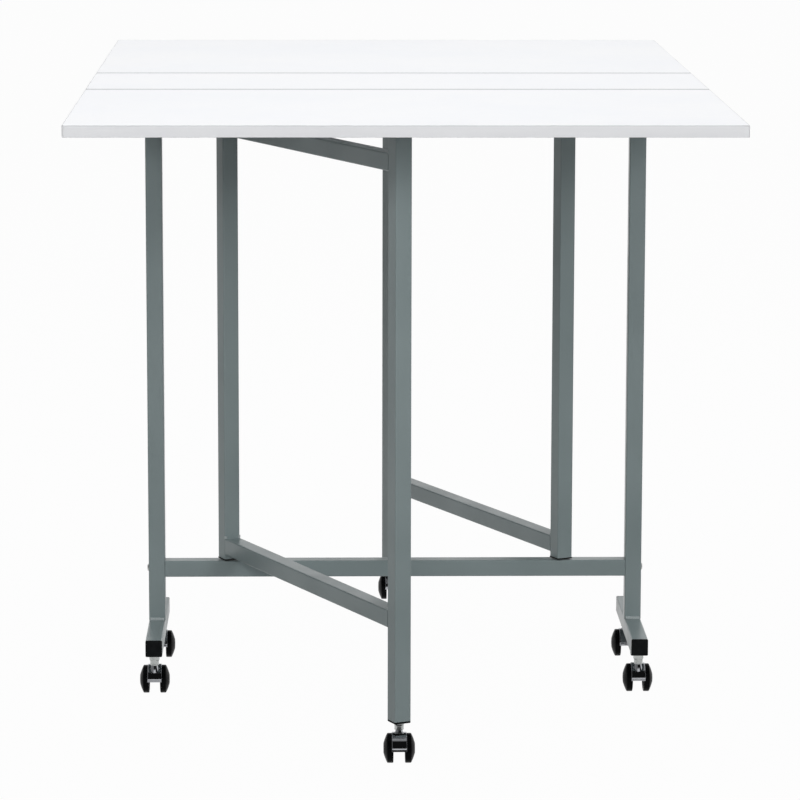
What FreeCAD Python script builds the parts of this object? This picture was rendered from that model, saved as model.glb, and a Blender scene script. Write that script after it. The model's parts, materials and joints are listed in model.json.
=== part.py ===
import FreeCAD, Part
import math
import os
import re

import Sketcher
from FreeCAD import Vector

# Folding sewing and cutting table on six twin-wheel casters.
#
# Three laminated boards lie in line along Y: a narrow centre panel and two drop leaves, hinged to
# it along X. A fixed frame of square steel tube carries the centre panel: two side legs on feet,
# joined by a lower and an upper crossbar. Two gates of the same tube turn on upright posts between
# the crossbars, swing out under the leaves and hold them level.
#
# +Z is up, +X is to the right of someone who stands at the front leaf, and the front leaf is at -Y.
# The origin is on the floor under the middle of the opened top. All sizes are in millimetres.

SIZES = {
    # Top
    "top_width": 914,
    "table_height": 912,
    "panel_thickness": 16,
    "panel_gap": 2,
    "panel_corner": 3,
    "panel_edge_round": 0.8,
    "centre_panel_length": 282,
    "front_leaf_length": 547,
    "rear_leaf_length": 674,
    # Square tube
    "tube_side": 25,
    "tube_wall": 1.5,
    "tube_corner": 2,
    # Side frames
    "side_leg_inset": 93,
    "foot_length": 298,
    "foot_height": 62.5,
    "top_plate_width": 48,
    "top_plate_length": 190,
    "top_plate_thickness": 3,
    "top_plate_screw_inset": 12,
    # Crossbars
    "crossbar_height": 155,
    "upper_crossbar_drop": 6,
    "bolt_diameter": 6,
    "bolt_head_diameter": 10.5,
    "bolt_head_height": 2.4,
    "bolt_hole_clearance": 0.2,
    "bolt_end_margin": 2,
    "end_nut_length": 18,
    # Gates
    "post_inset": 110,
    "gate_overreach": 69,
    "gate_open_angle": 64.4,
    "lower_arm_height": 190,
    "upper_arm_drop": 39,
    "gate_plug_height": 55.5,
    "leaf_clearance": 0.3,
    # Pivots of the gates
    "pin_diameter": 10,
    "pin_length": 14,
    "pin_collar_diameter": 16,
    "pin_collar_thickness": 1,
    "pin_tail_diameter": 8,
    "rivet_head_diameter": 12,
    "rivet_head_height": 1.5,
    "pivot_clearance": 0.1,
    "axial_clearance": 0.3,
    "bush_flange": 2,
    "bush_insert": 16,
    # End plugs
    "plug_flange": 3,
    "plug_insert": 14,
    "plug_edge_round": 0.8,
    # Casters
    "caster_inset": 22,
    "caster_trail": 11,
    "wheel_diameter": 42,
    "wheel_width": 13.8,
    "wheel_gap": 16.5,
    "wheel_tread": 9,
    "wheel_tread_chamfer": 1,
    "wheel_cap_diameter": 16,
    "wheel_side_clearance": 0.3,
    "hood_width": 21,
    "hood_wall": 1,
    "hood_clearance": 0.5,
    "hood_dip_angle": 1,
    "hood_web": 5,
    "socket_diameter": 15,
    "socket_floor": 2,
    "socket_rise": 1,
    "axle_diameter": 6,
    "axle_boss_diameter": 11,
    "axle_engagement": 9,
    "stem_diameter": 8,
    "stem_neck_diameter": 13.2,
    "stem_neck_length": 7.2,
    "stem_collar_diameter": 15.4,
    # Hinges
    "hinge_inset": 67,
    "hinge_length": 60,
    "hinge_plate_width": 34,
    "hinge_plate_thickness": 1.5,
    "hinge_barrel_diameter": 8,
    "hinge_pin_diameter": 4,
    "hinge_clearance": 0.3,
    # Wood screws
    "screw_diameter": 3.5,
    "screw_head_diameter": 7,
    "screw_head_height": 1.8,
    "screw_depth": 11,
    "screw_spacing": 36,
    # Gate stops
    "stop_length": 40,
    "stop_width": 18,
    "stop_height": 12,
    "stop_edge_round": 0.8,
    "stop_clearance": 0.3,
}

# Values worked out from the sizes. Each name stands for its expression wherever it is used.
DERIVED = {
    "frame_y": "(front_leaf_length - rear_leaf_length) / 2",
    "underside": "table_height - panel_thickness",
    "hinge_line": "(centre_panel_length + panel_gap) / 2",
    "hinge_spacing": "top_width / 2 - hinge_inset",
    "side_leg_spacing": "top_width - 2 * side_leg_inset",
    "post_spacing": "side_leg_spacing - 2 * post_inset",
    "gate_radius": "post_spacing + gate_overreach",
    "foot_top": "foot_height + tube_side",
    "tube_inside": "tube_side - 2 * tube_wall",
    "leg_top": "underside - top_plate_thickness",
    "crossbar_length": "side_leg_spacing - tube_side",
    "crossbar_top": "crossbar_height + tube_side",
    "upper_crossbar_height": "underside - upper_crossbar_drop - tube_side",
    "pivot_stack": "pin_collar_thickness + axial_clearance + bush_flange",
    "upper_arm_height": "underside - upper_arm_drop - tube_side",
    "post_bottom": "crossbar_top + pivot_stack",
    "post_top": "upper_crossbar_height - pivot_stack",
    "gate_leg_bottom": "gate_plug_height + plug_flange",
    "gate_leg_top": "underside - leaf_clearance - plug_flange",
    "wheel_radius": "wheel_diameter / 2",
    "hood_inner": "wheel_radius + hood_clearance",
    "hood_outer": "hood_inner + hood_wall",
    "socket_top": "wheel_radius + hood_outer + socket_rise",
    "neck_bottom": "socket_top + axial_clearance",
    "neck_top": "neck_bottom + stem_neck_length",
    "barrel_z": "underside - hinge_barrel_diameter / 2 - hinge_clearance",
    "screw_row": "(hinge_barrel_diameter + hinge_plate_width) / 2",
}

# Two lengths or directions that differ by less than this are the same.
TOLERANCE = 1e-6

doc = FreeCAD.newDocument("FoldingCuttingTable")
sheet = doc.addObject("Spreadsheet::Sheet", "Sizes")
nodes = []


def fill_sheet():
    """Write every driving size to the sheet as a plain number with an alias."""
    for row, (name, value) in enumerate(SIZES.items(), start=1):
        sheet.set(f"A{row}", name)
        sheet.set(f"B{row}", str(value))
        sheet.setAlias(f"B{row}", name)
    doc.recompute()


def bound(text):
    """Turn an expression in plain names into one that refers to the sheet's cells."""
    def swap(match):
        name = match.group(0)
        if name in DERIVED:
            return "(" + bound(DERIVED[name]) + ")"
        return "Sizes." + name if name in SIZES else name

    return re.sub(r"[a-z]\w*", swap, text)


def size(text):
    """Work out an expression's present value as a number."""
    result = sheet.evalExpression(bound(text))
    return float(getattr(result, "Value", result))


# --------------------------------------------------------------------------------------------
# Features
# --------------------------------------------------------------------------------------------

def new_body(label):
    """Start a PartDesign body."""
    body = doc.addObject("PartDesign::Body", label)
    body.Label = label
    return body


def new_sketch(body, plane, offset="0"):
    """Attach a sketch to one of the body's own planes, moved along the plane's normal."""
    sketch = body.newObject("Sketcher::SketchObject", body.Label + "_sketch")
    origin_plane = next(item for item in body.Origin.OriginFeatures if item.Role == plane)
    sketch.AttachmentSupport = [(origin_plane, "")]
    sketch.MapMode = "FlatFace"
    sketch.setExpression("AttachmentOffset.Base.z", bound(offset))
    return sketch


def bind_point(sketch, geometry, vertex, x, y):
    """Tie a point of the sketch to the expressions for its two coordinates."""
    for kind, text in (("DistanceX", x), ("DistanceY", y)):
        index = sketch.addConstraint(Sketcher.Constraint(kind, -1, 1, geometry, vertex, size(text)))
        sketch.setExpression(f"Constraints[{index}]", bound(text))


def outline(sketch, corners):
    """Draw a closed outline through corners given as pairs of expressions."""
    first = sketch.GeometryCount
    count = len(corners)
    points = [Vector(size(x), size(y), 0) for x, y in corners]
    for index in range(count):
        line = Part.LineSegment(points[index], points[(index + 1) % count])
        sketch.addGeometry(line, False)
    for index in range(count):
        following = first + (index + 1) % count
        sketch.addConstraint(Sketcher.Constraint("Coincident", first + index, 2, following, 1))
    for index, (x, y) in enumerate(corners):
        bind_point(sketch, first + index, 1, x, y)


def rectangle(sketch, left, right, low, high):
    """Draw a rectangle between four expressions."""
    outline(sketch, [(left, low), (right, low), (right, high), (left, high)])


def square(sketch, side, centre_y="0"):
    """Draw a square about a point on the sketch's vertical axis."""
    half = f"({side}) / 2"
    rectangle(sketch, f"-{half}", half, f"{centre_y} - {half}", f"{centre_y} + {half}")


def circle(sketch, x, y, diameter):
    """Draw a circle at a place given by expressions."""
    geometry = Part.Circle(Vector(size(x), size(y), 0), Vector(0, 0, 1), size(diameter) / 2)
    index = sketch.addGeometry(geometry, False)
    bind_point(sketch, index, 3, x, y)
    constraint = sketch.addConstraint(Sketcher.Constraint("Diameter", index, size(diameter)))
    sketch.setExpression(f"Constraints[{constraint}]", bound(diameter))


def pad(body, sketch, length, symmetric=False):
    """Raise a sketch along its normal, or by half to each side of it."""
    feature = body.newObject("PartDesign::Pad", body.Label + "_pad")
    feature.Profile = sketch
    feature.Midplane = symmetric
    feature.setExpression("Length", bound(length))
    body.Tip = feature
    doc.recompute()
    return feature


def drill_through(body, sketch):
    """Cut a sketch through the whole body, both ways."""
    feature = body.newObject("PartDesign::Pocket", body.Label + "_drill")
    feature.Profile = sketch
    feature.Type = "ThroughAll"
    feature.Midplane = True
    body.Tip = feature
    doc.recompute()
    return feature


def cut_upwards(body, sketch, depth):
    """Cut a sketch along its normal to a depth."""
    feature = body.newObject("PartDesign::Pocket", body.Label + "_cut")
    feature.Profile = sketch
    feature.Reversed = True
    feature.setExpression("Length", bound(depth))
    body.Tip = feature
    doc.recompute()
    return feature


def revolve(body, sketch, axis, angle="360"):
    """Turn a sketch about its own horizontal or vertical axis."""
    feature = body.newObject("PartDesign::Revolution", body.Label + "_turn")
    feature.Profile = sketch
    feature.ReferenceAxis = (sketch, [axis])
    feature.setExpression("Angle", bound(angle))
    body.Tip = feature
    doc.recompute()
    return feature


def round_edges(body, radius, wanted):
    """Round the edges of the body's tip that the test accepts."""
    base = body.Tip
    names = [f"Edge{i}" for i, edge in enumerate(base.Shape.Edges, start=1) if wanted(edge)]
    feature = body.newObject("PartDesign::Fillet", body.Label + "_round")
    feature.Base = (base, names)
    feature.setExpression("Radius", bound(radius))
    body.Tip = feature
    doc.recompute()
    return feature


def runs_along(edge, direction):
    """Tell whether a straight edge is parallel to a direction."""
    if not isinstance(edge.Curve, Part.Line):
        return False
    return abs(edge.Curve.Direction.dot(direction)) > 1 - TOLERANCE


def lies_level(edge, height):
    """Tell whether both ends of an edge are at a height."""
    return all(abs(vertex.Z - height) < TOLERANCE for vertex in edge.Vertexes)


def shift(x="0", y="0", z="0", turn="0", about="0; 0; 1"):
    """Give a placement as an expression: a move, after a turn about an axis."""
    return f"placement(vector({x}; {y}; {z}); rotation(vector({about}); {turn}))"


def place(item, *steps):
    """Bind an object's placement to a chain of placements, the outermost first."""
    item.setExpression("Placement", bound(" * ".join(steps)))
    return item


def node(item):
    """Register an object as a sub-part with a file of its own."""
    nodes.append(item)
    return item


def group(label, items):
    """Join separate solids of one kind into one sub-part."""
    compound = doc.addObject("Part::Compound", label)
    compound.Label = label
    compound.Links = items
    return node(compound)


def copy_of(master, label, *steps):
    """Link a copy of a body to a place of its own."""
    link = doc.addObject("App::Link", label)
    link.LinkedObject = master
    link.LinkTransform = False
    return place(link, *steps)


# --------------------------------------------------------------------------------------------
# Frames of reference
# --------------------------------------------------------------------------------------------

CENTRE = shift(y="frame_y")
LEFT_SIDE = shift(x="-side_leg_spacing / 2", y="frame_y")
RIGHT_SIDE = shift(x="side_leg_spacing / 2", y="frame_y")
FRONT_GATE = shift(x="-post_spacing / 2", y="frame_y", turn="-gate_open_angle")
REAR_GATE = shift(x="post_spacing / 2", y="frame_y", turn="180 - gate_open_angle")

# Turns that stand a piece made upright along +Y, along -Y, or upside down.
TOWARDS_REAR = {"turn": "-90", "about": "1; 0; 0"}
TOWARDS_FRONT = {"turn": "90", "about": "1; 0; 0"}
UPSIDE_DOWN = {"turn": "180", "about": "1; 0; 0"}
TOWARDS_LEFT = {"turn": "-90", "about": "0; 1; 0"}
TOWARDS_RIGHT = {"turn": "90", "about": "0; 1; 0"}

TUBE_AXES = {
    "X": ("YZ_Plane", Vector(1, 0, 0)),
    "Y": ("XZ_Plane", Vector(0, 1, 0)),
    "Z": ("XY_Plane", Vector(0, 0, 1)),
}


# --------------------------------------------------------------------------------------------
# Pieces that repeat
# --------------------------------------------------------------------------------------------

def square_tube(label, axis, length, start="0", height="0", symmetric=False):
    """Draw a length of square tube with rounded outer corners.

    A level tube's underside is at the given height. The start is measured along the axis.
    """
    plane, direction = TUBE_AXES[axis]
    body = new_body(label)
    sketch = new_sketch(body, plane, start)
    middle = "0" if axis == "Z" else f"({height}) + tube_side / 2"
    square(sketch, "tube_side", middle)
    square(sketch, "tube_inside", middle)
    pad(body, sketch, length, symmetric)
    across = Vector(0, 0, 0) if axis == "Z" else Vector(0, 0, size(middle))
    outer_corner = (size("tube_side") - size("tube_wall")) / math.sqrt(2)

    def is_outer(edge):
        if not runs_along(edge, direction):
            return False
        offset = edge.Vertexes[0].Point - across
        offset = offset - direction * offset.dot(direction)
        return offset.Length > outer_corner

    round_edges(body, "tube_corner", is_outer)
    return body


def end_plug(label, bore=None):
    """Mould a plug for a tube's end: a flange above z = 0 and a square insert below it."""
    body = new_body(label)
    flange = new_sketch(body, "XY_Plane")
    square(flange, "tube_side")
    pad(body, flange, "plug_flange")
    rim = size("tube_side / 2")
    top = size("plug_flange")

    def is_flange_corner(edge):
        return runs_along(edge, Vector(0, 0, 1)) and abs(edge.Vertexes[0].X) > rim / 2

    def is_face_rim(edge):
        return lies_level(edge, top)

    round_edges(body, "tube_corner", is_flange_corner)
    round_edges(body, "plug_edge_round", is_face_rim)
    insert = new_sketch(body, "XY_Plane", "-plug_insert")
    square(insert, "tube_inside")
    pad(body, insert, "plug_insert")
    if bore:
        hole = new_sketch(body, "XY_Plane")
        circle(hole, "0", "0", bore)
        drill_through(body, hole)
    return body


def pivot_bush(label):
    """Mould a gate's bush: a flange below z = 0, a square insert above it and a bore."""
    body = new_body(label)
    flange = new_sketch(body, "XY_Plane", "-bush_flange")
    square(flange, "tube_side")
    pad(body, flange, "bush_flange")
    insert = new_sketch(body, "XY_Plane")
    square(insert, "tube_inside")
    pad(body, insert, "bush_insert")
    hole = new_sketch(body, "XY_Plane")
    circle(hole, "0", "0", "pin_diameter + 2 * pivot_clearance")
    drill_through(body, hole)
    return body


def pivot_pin(label):
    """Turn a pivot pin that is riveted to a crossbar's wall, whose outer face is z = 0."""
    body = new_body(label)
    sketch = new_sketch(body, "XZ_Plane")
    outline(sketch, [
        ("0", "-tube_wall - rivet_head_height"),
        ("rivet_head_diameter / 2", "-tube_wall - rivet_head_height"),
        ("rivet_head_diameter / 2", "-tube_wall"),
        ("pin_tail_diameter / 2", "-tube_wall"),
        ("pin_tail_diameter / 2", "0"),
        ("pin_collar_diameter / 2", "0"),
        ("pin_collar_diameter / 2", "pin_collar_thickness"),
        ("pin_diameter / 2", "pin_collar_thickness"),
        ("pin_diameter / 2", "pin_collar_thickness + pin_length"),
        ("0", "pin_collar_thickness + pin_length"),
    ])
    revolve(body, sketch, "V_Axis")
    return body


def crossbar_bolt(label):
    """Turn a crossbar bolt: a chamfered head above z = 0 and a shank down to the end nut."""
    head = "bolt_head_diameter / 2"
    shank = "bolt_diameter / 2"
    reach = "-(tube_side + end_nut_length - bolt_end_margin)"
    body = new_body(label)
    sketch = new_sketch(body, "XZ_Plane")
    outline(sketch, [
        ("0", reach),
        (shank, reach),
        (shank, "0"),
        (head, "0"),
        (head, "bolt_head_height / 2"),
        (f"{head} - bolt_head_height / 2", "bolt_head_height"),
        ("0", "bolt_head_height"),
    ])
    revolve(body, sketch, "V_Axis")
    return body


def end_nut(label):
    """Mould the square nut in a crossbar's end, from z = 0 downwards, with its bolt hole."""
    body = new_body(label)
    block = new_sketch(body, "XY_Plane", "-end_nut_length")
    square(block, "tube_inside")
    pad(body, block, "end_nut_length")
    hole = new_sketch(body, "XY_Plane")
    circle(hole, "0", "0", "bolt_diameter + bolt_hole_clearance")
    drill_through(body, hole)
    return body


def wood_screw(label, grip="0"):
    """Turn a pan-head screw: its head hangs below z = 0 and its shank points up.

    The grip is the thickness that it holds, past its depth in the wood.
    """
    head = "screw_head_diameter / 2"
    shank = "screw_diameter / 2"
    body = new_body(label)
    sketch = new_sketch(body, "XZ_Plane")
    outline(sketch, [
        ("0", "-screw_head_height"),
        (f"{head} - screw_head_height / 2", "-screw_head_height"),
        (head, "-screw_head_height / 2"),
        (head, "0"),
        (shank, "0"),
        (shank, f"{grip} + screw_depth - screw_diameter"),
        ("0", f"{grip} + screw_depth"),
    ])
    revolve(body, sketch, "V_Axis")
    return body


def caster_stem(label, seat, top, riveted):
    """Turn a caster's stem on the swivel axis, with the floor at z = 0.

    Its neck flares into a collar that reaches up to the seat, and its shank goes on to the top.
    """
    thin = "stem_diameter / 2"
    neck = "stem_neck_diameter / 2"
    collar = "stem_collar_diameter / 2"
    profile = [
        ("0", "wheel_radius + socket_floor + axial_clearance"),
        (thin, "wheel_radius + socket_floor + axial_clearance"),
        (thin, "neck_bottom"),
        (neck, "neck_bottom"),
        (neck, "neck_top"),
        (collar, f"neck_top + {collar} - {neck}"),
        (collar, seat),
        (thin, seat),
        (thin, top),
    ]
    if riveted:
        profile += [
            ("rivet_head_diameter / 2", top),
            ("rivet_head_diameter / 2", f"{top} + rivet_head_height"),
            ("0", f"{top} + rivet_head_height"),
        ]
    else:
        profile += [("0", top)]
    body = new_body(label)
    sketch = new_sketch(body, "XZ_Plane")
    outline(sketch, profile)
    revolve(body, sketch, "V_Axis")
    return body


def caster_hood(label):
    """Cast a caster's hood about its axle: a fender, a web, an axle boss and a stem socket."""
    half = "hood_width / 2"
    body = new_body(label)
    fender = new_sketch(body, "XY_Plane")
    outline(fender, [
        (f"-{half}", "hood_inner"),
        (f"-{half}", "hood_outer"),
        (half, "hood_outer"),
        (half, "hood_inner"),
        ("hood_web / 2", "hood_inner"),
        ("hood_web / 2", "axle_diameter / 2"),
        ("-hood_web / 2", "axle_diameter / 2"),
        ("-hood_web / 2", "hood_inner"),
    ])
    # The profile stands at the rear of the axle, turned down by the dip angle. The offset is given
    # a turn about X before it is bound, because one without an angle has no axis to keep.
    turned = FreeCAD.Rotation(Vector(1, 0, 0), -size("hood_dip_angle"))
    fender.AttachmentOffset = FreeCAD.Placement(Vector(0, 0, 0), turned)
    fender.setExpression("AttachmentOffset.Rotation.Angle", bound("-hood_dip_angle"))
    revolve(body, fender, "H_Axis", "180 + 2 * hood_dip_angle")
    boss_half = "(wheel_gap / 2 - wheel_side_clearance)"
    boss = new_sketch(body, "XY_Plane")
    rectangle(boss, f"-{boss_half}", boss_half, "axle_diameter / 2", "axle_boss_diameter / 2")
    revolve(body, boss, "H_Axis")
    socket = new_sketch(body, "XY_Plane")
    circle(socket, "0", "-caster_trail", "socket_diameter")
    pad(body, socket, "hood_outer + socket_rise")
    bore = new_sketch(body, "XY_Plane", "socket_floor")
    circle(bore, "0", "-caster_trail", "stem_diameter + 2 * pivot_clearance")
    cut_upwards(body, bore, "hood_outer + socket_rise")
    return body


def caster_wheel(label, side):
    """Mould a caster's wheel about its axle: a tread, a coned flank and a closed cap.

    The side is "" for the wheel at +X and "-" for its mirror twin at -X.
    """
    inner = "wheel_gap / 2"
    outer = "wheel_gap / 2 + wheel_width"
    bore = "axle_diameter / 2 + pivot_clearance"
    blind = "wheel_gap / 2 + axle_engagement + axial_clearance"
    profile = [
        (inner, bore),
        (inner, "wheel_radius - wheel_tread_chamfer"),
        (f"{inner} + wheel_tread_chamfer", "wheel_radius"),
        (f"{inner} + wheel_tread - wheel_tread_chamfer", "wheel_radius"),
        (f"{inner} + wheel_tread", "wheel_radius - wheel_tread_chamfer"),
        (outer, "wheel_cap_diameter / 2"),
        (outer, "0"),
        (blind, "0"),
        (blind, bore),
    ]
    body = new_body(label)
    sketch = new_sketch(body, "XY_Plane")
    outline(sketch, [(f"{side}({x})", y) for x, y in profile])
    revolve(body, sketch, "H_Axis")
    return body


def caster_axle(label):
    """Turn a caster's axle along X."""
    half = "(wheel_gap / 2 + axle_engagement)"
    body = new_body(label)
    sketch = new_sketch(body, "XY_Plane")
    rectangle(sketch, f"-{half}", half, "0", "axle_diameter / 2")
    revolve(body, sketch, "H_Axis")
    return body


def make_caster(name, mount):
    """Build one caster's moving pieces under a mount frame that stands on the floor."""
    axle_frame = shift(y="caster_trail", z="wheel_radius")
    place(node(caster_hood(f"{name}_caster_hood")), mount, axle_frame)
    place(node(caster_axle(f"{name}_caster_axle")), mount, axle_frame)
    place(node(caster_wheel(f"{name}_caster_left_wheel", "-")), mount, axle_frame)
    place(node(caster_wheel(f"{name}_caster_right_wheel", "")), mount, axle_frame)


# --------------------------------------------------------------------------------------------
# Fixed frame
# --------------------------------------------------------------------------------------------

def side_leg(label, side):
    """Weld a side leg: the upright tube and the plate that carries the centre panel."""
    body = square_tube(label, "Z", "leg_top - foot_top", start="foot_top")
    plate = new_sketch(body, "XY_Plane", "leg_top")
    half_width = "top_plate_width / 2"
    half_length = "top_plate_length / 2"
    rectangle(plate, f"-{half_width}", half_width, f"-{half_length}", half_length)
    pad(body, plate, "top_plate_thickness")
    bolt_holes = new_sketch(body, "YZ_Plane")
    for bar in ("crossbar_height", "upper_crossbar_height"):
        circle(bolt_holes, "0", f"{bar} + tube_side / 2", "bolt_diameter + bolt_hole_clearance")
    drill_through(body, bolt_holes)
    screw_holes = new_sketch(body, "XY_Plane", "leg_top")
    for x, y in plate_screw_places():
        circle(screw_holes, x, y, "screw_diameter")
    cut_upwards(body, screw_holes, "top_plate_thickness")
    return place(node(body), side)


def plate_screw_places():
    """List where the screws stand in a top plate, from the leg's axis."""
    x = "(top_plate_width / 2 - top_plate_screw_inset)"
    y = "(top_plate_length / 2 - top_plate_screw_inset)"
    return [(f"{i}{x}", f"{j}{y}") for i in ("-", "") for j in ("-", "")]


def foot_caster_places():
    """List the foot casters with the frame of each mount. All four trail inwards."""
    reach = "(foot_length / 2 - caster_inset)"
    return [
        ("front_left", LEFT_SIDE, shift(y=f"-{reach}")),
        ("front_right", RIGHT_SIDE, shift(y=f"-{reach}")),
        ("rear_left", LEFT_SIDE, shift(y=reach, turn="180")),
        ("rear_right", RIGHT_SIDE, shift(y=reach, turn="180")),
    ]


def foot_tube(label, side):
    """Cut a foot tube to length and drill its underside for the two caster stems."""
    body = square_tube(label, "Y", "foot_length", height="foot_height", symmetric=True)
    holes = new_sketch(body, "XY_Plane", "foot_height")
    for sign in ("-", ""):
        circle(holes, "0", f"{sign}(foot_length / 2 - caster_inset)", "stem_diameter")
    cut_upwards(body, holes, "tube_wall")
    return place(node(body), side)


def crossbar(label, height, face, tail):
    """Cut a crossbar and drill the face that carries the pivot pins."""
    start = "-crossbar_length / 2"
    body = square_tube(label, "X", "crossbar_length", start=start, height=height)
    holes = new_sketch(body, "XY_Plane", face)
    for sign in ("-", ""):
        circle(holes, f"{sign}post_spacing / 2", "0", tail)
    cut_upwards(body, holes, "tube_wall")
    return place(node(body), CENTRE)


def make_fixed_frame():
    """Build the side frames, the crossbars and what fastens them."""
    side_leg("left_side_leg", LEFT_SIDE)
    side_leg("right_side_leg", RIGHT_SIDE)
    foot_tube("left_foot_tube", LEFT_SIDE)
    foot_tube("right_foot_tube", RIGHT_SIDE)
    crossbar("lower_crossbar", "crossbar_height", "crossbar_top - tube_wall", "pin_tail_diameter")
    crossbar("upper_crossbar", "upper_crossbar_height", "upper_crossbar_height", "pin_tail_diameter")

    plugs = []
    level = "foot_height + tube_side / 2"
    for side_name, side in (("left", LEFT_SIDE), ("right", RIGHT_SIDE)):
        rear = end_plug(f"{side_name}_rear_foot_plug")
        front = end_plug(f"{side_name}_front_foot_plug")
        plugs.append(place(rear, side, shift(y="foot_length / 2", z=level, **TOWARDS_REAR)))
        plugs.append(place(front, side, shift(y="-foot_length / 2", z=level, **TOWARDS_FRONT)))
    group("foot_end_plugs", plugs)

    fasteners = []
    pins = []
    for bar_name, bar in (("lower", "crossbar_height"), ("upper", "upper_crossbar_height")):
        axis_z = f"{bar} + tube_side / 2"
        face = "(side_leg_spacing + tube_side) / 2"
        bar_end = "crossbar_length / 2"
        for sign, way in (("-", TOWARDS_LEFT), ("", TOWARDS_RIGHT)):
            bolt = crossbar_bolt(f"{bar_name}_bolt")
            nut = end_nut(f"{bar_name}_end_nut")
            fasteners.append(place(bolt, CENTRE, shift(x=f"{sign}{face}", z=axis_z, **way)))
            fasteners.append(place(nut, CENTRE, shift(x=f"{sign}{bar_end}", z=axis_z, **way)))
    group("crossbar_bolts_and_nuts", fasteners)

    for sign in ("-", ""):
        x = f"{sign}post_spacing / 2"
        lower = pivot_pin("lower_pivot_pin")
        upper = pivot_pin("upper_pivot_pin")
        pins.append(place(lower, CENTRE, shift(x=x, z="crossbar_top")))
        pins.append(place(upper, CENTRE, shift(x=x, z="upper_crossbar_height", **UPSIDE_DOWN)))
    group("pivot_pins", pins)

    stems = []
    for name, side, offset in foot_caster_places():
        stem = caster_stem(f"{name}_caster_stem", "foot_height", "foot_height + tube_wall",
                           riveted=True)
        stems.append(place(stem, side, offset))
        make_caster(name, side + " * " + offset)
    group("foot_caster_stems", stems)


# --------------------------------------------------------------------------------------------
# Gates
# --------------------------------------------------------------------------------------------

def make_gate(name, frame):
    """Build one gate in its own frame: the post on the axis and the leg at the gate's radius."""
    post = square_tube(f"{name}_gate_post", "Z", "post_top - post_bottom", start="post_bottom")
    place(node(post), frame)

    arm_length = "gate_radius - tube_side"
    for level in ("upper", "lower"):
        arm = square_tube(f"{name}_gate_{level}_arm", "X", arm_length, start="tube_side / 2",
                          height=f"{level}_arm_height")
        place(node(arm), frame)

    leg_frame = shift(x="gate_radius")
    leg = square_tube(f"{name}_gate_leg", "Z", "gate_leg_top - gate_leg_bottom",
                      start="gate_leg_bottom")
    place(node(leg), frame, leg_frame)

    glide = end_plug(f"{name}_gate_leg_glide")
    foot = end_plug(f"{name}_gate_leg_foot", bore="stem_diameter")
    group(f"{name}_gate_leg_plugs", [
        place(glide, frame, leg_frame, shift(z="gate_leg_top")),
        place(foot, frame, leg_frame, shift(z="gate_leg_bottom", **UPSIDE_DOWN)),
    ])

    low_bush = pivot_bush(f"{name}_gate_lower_bush")
    high_bush = pivot_bush(f"{name}_gate_upper_bush")
    group(f"{name}_gate_bushes", [
        place(low_bush, frame, shift(z="post_bottom")),
        place(high_bush, frame, shift(z="post_top", **UPSIDE_DOWN)),
    ])

    # The caster trails along Y, outwards from the frame, whichever way the gate points.
    caster_frame = shift(x="gate_radius", turn="gate_open_angle - 180")
    stem = caster_stem(f"{name}_gate_caster_stem", "gate_plug_height",
                       "gate_leg_bottom + plug_insert", riveted=False)
    place(node(stem), frame, leg_frame)
    make_caster(f"{name}_gate", frame + " * " + caster_frame)


# --------------------------------------------------------------------------------------------
# Top
# --------------------------------------------------------------------------------------------

HINGE_PLACES = ("-hinge_spacing", "0", "hinge_spacing")


def hinge_screw_places(line_y, way):
    """List the hinge screws on one side of a hinge line; way is "-" towards the front."""
    return [
        (f"{x} + {i}screw_spacing / 2", f"{line_y} {way or '+'} screw_row")
        for x in HINGE_PLACES
        for i in ("-", "")
    ]


def stop_screw_places(frame_sign):
    """List the two screws of a gate stop in the row frame."""
    side = "(tube_side / 2 + stop_clearance + stop_width / 2)"
    places = []
    for along in ("(gate_radius - stop_length / 4)", "(gate_radius + stop_length / 4)"):
        x = f"-post_spacing / 2 + {along} * cos(gate_open_angle) - {side} * sin(gate_open_angle)"
        y = f"-{along} * sin(gate_open_angle) - {side} * cos(gate_open_angle)"
        places.append((f"{frame_sign}({x})", f"{frame_sign}({y})"))
    return places


def panel(label, low, high, screw_places, square_ends):
    """Cut a board between two Y expressions, round it and drill its underside for screws."""
    body = new_body(label)
    board = new_sketch(body, "XY_Plane", "underside")
    rectangle(board, "-top_width / 2", "top_width / 2", low, high)
    pad(body, board, "panel_thickness")
    top = size("table_height")

    def is_free_corner(edge):
        if not runs_along(edge, Vector(0, 0, 1)):
            return False
        return not any(abs(edge.Vertexes[0].Y - size(end)) < TOLERANCE for end in square_ends)

    def is_top_rim(edge):
        return lies_level(edge, top)

    if len(square_ends) < 2:
        round_edges(body, "panel_corner", is_free_corner)
    round_edges(body, "panel_edge_round", is_top_rim)
    holes = new_sketch(body, "XY_Plane", "underside")
    for x, y in screw_places:
        circle(holes, x, y, "screw_diameter")
    cut_upwards(body, holes, "screw_depth")
    return place(node(body), CENTRE)


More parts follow.
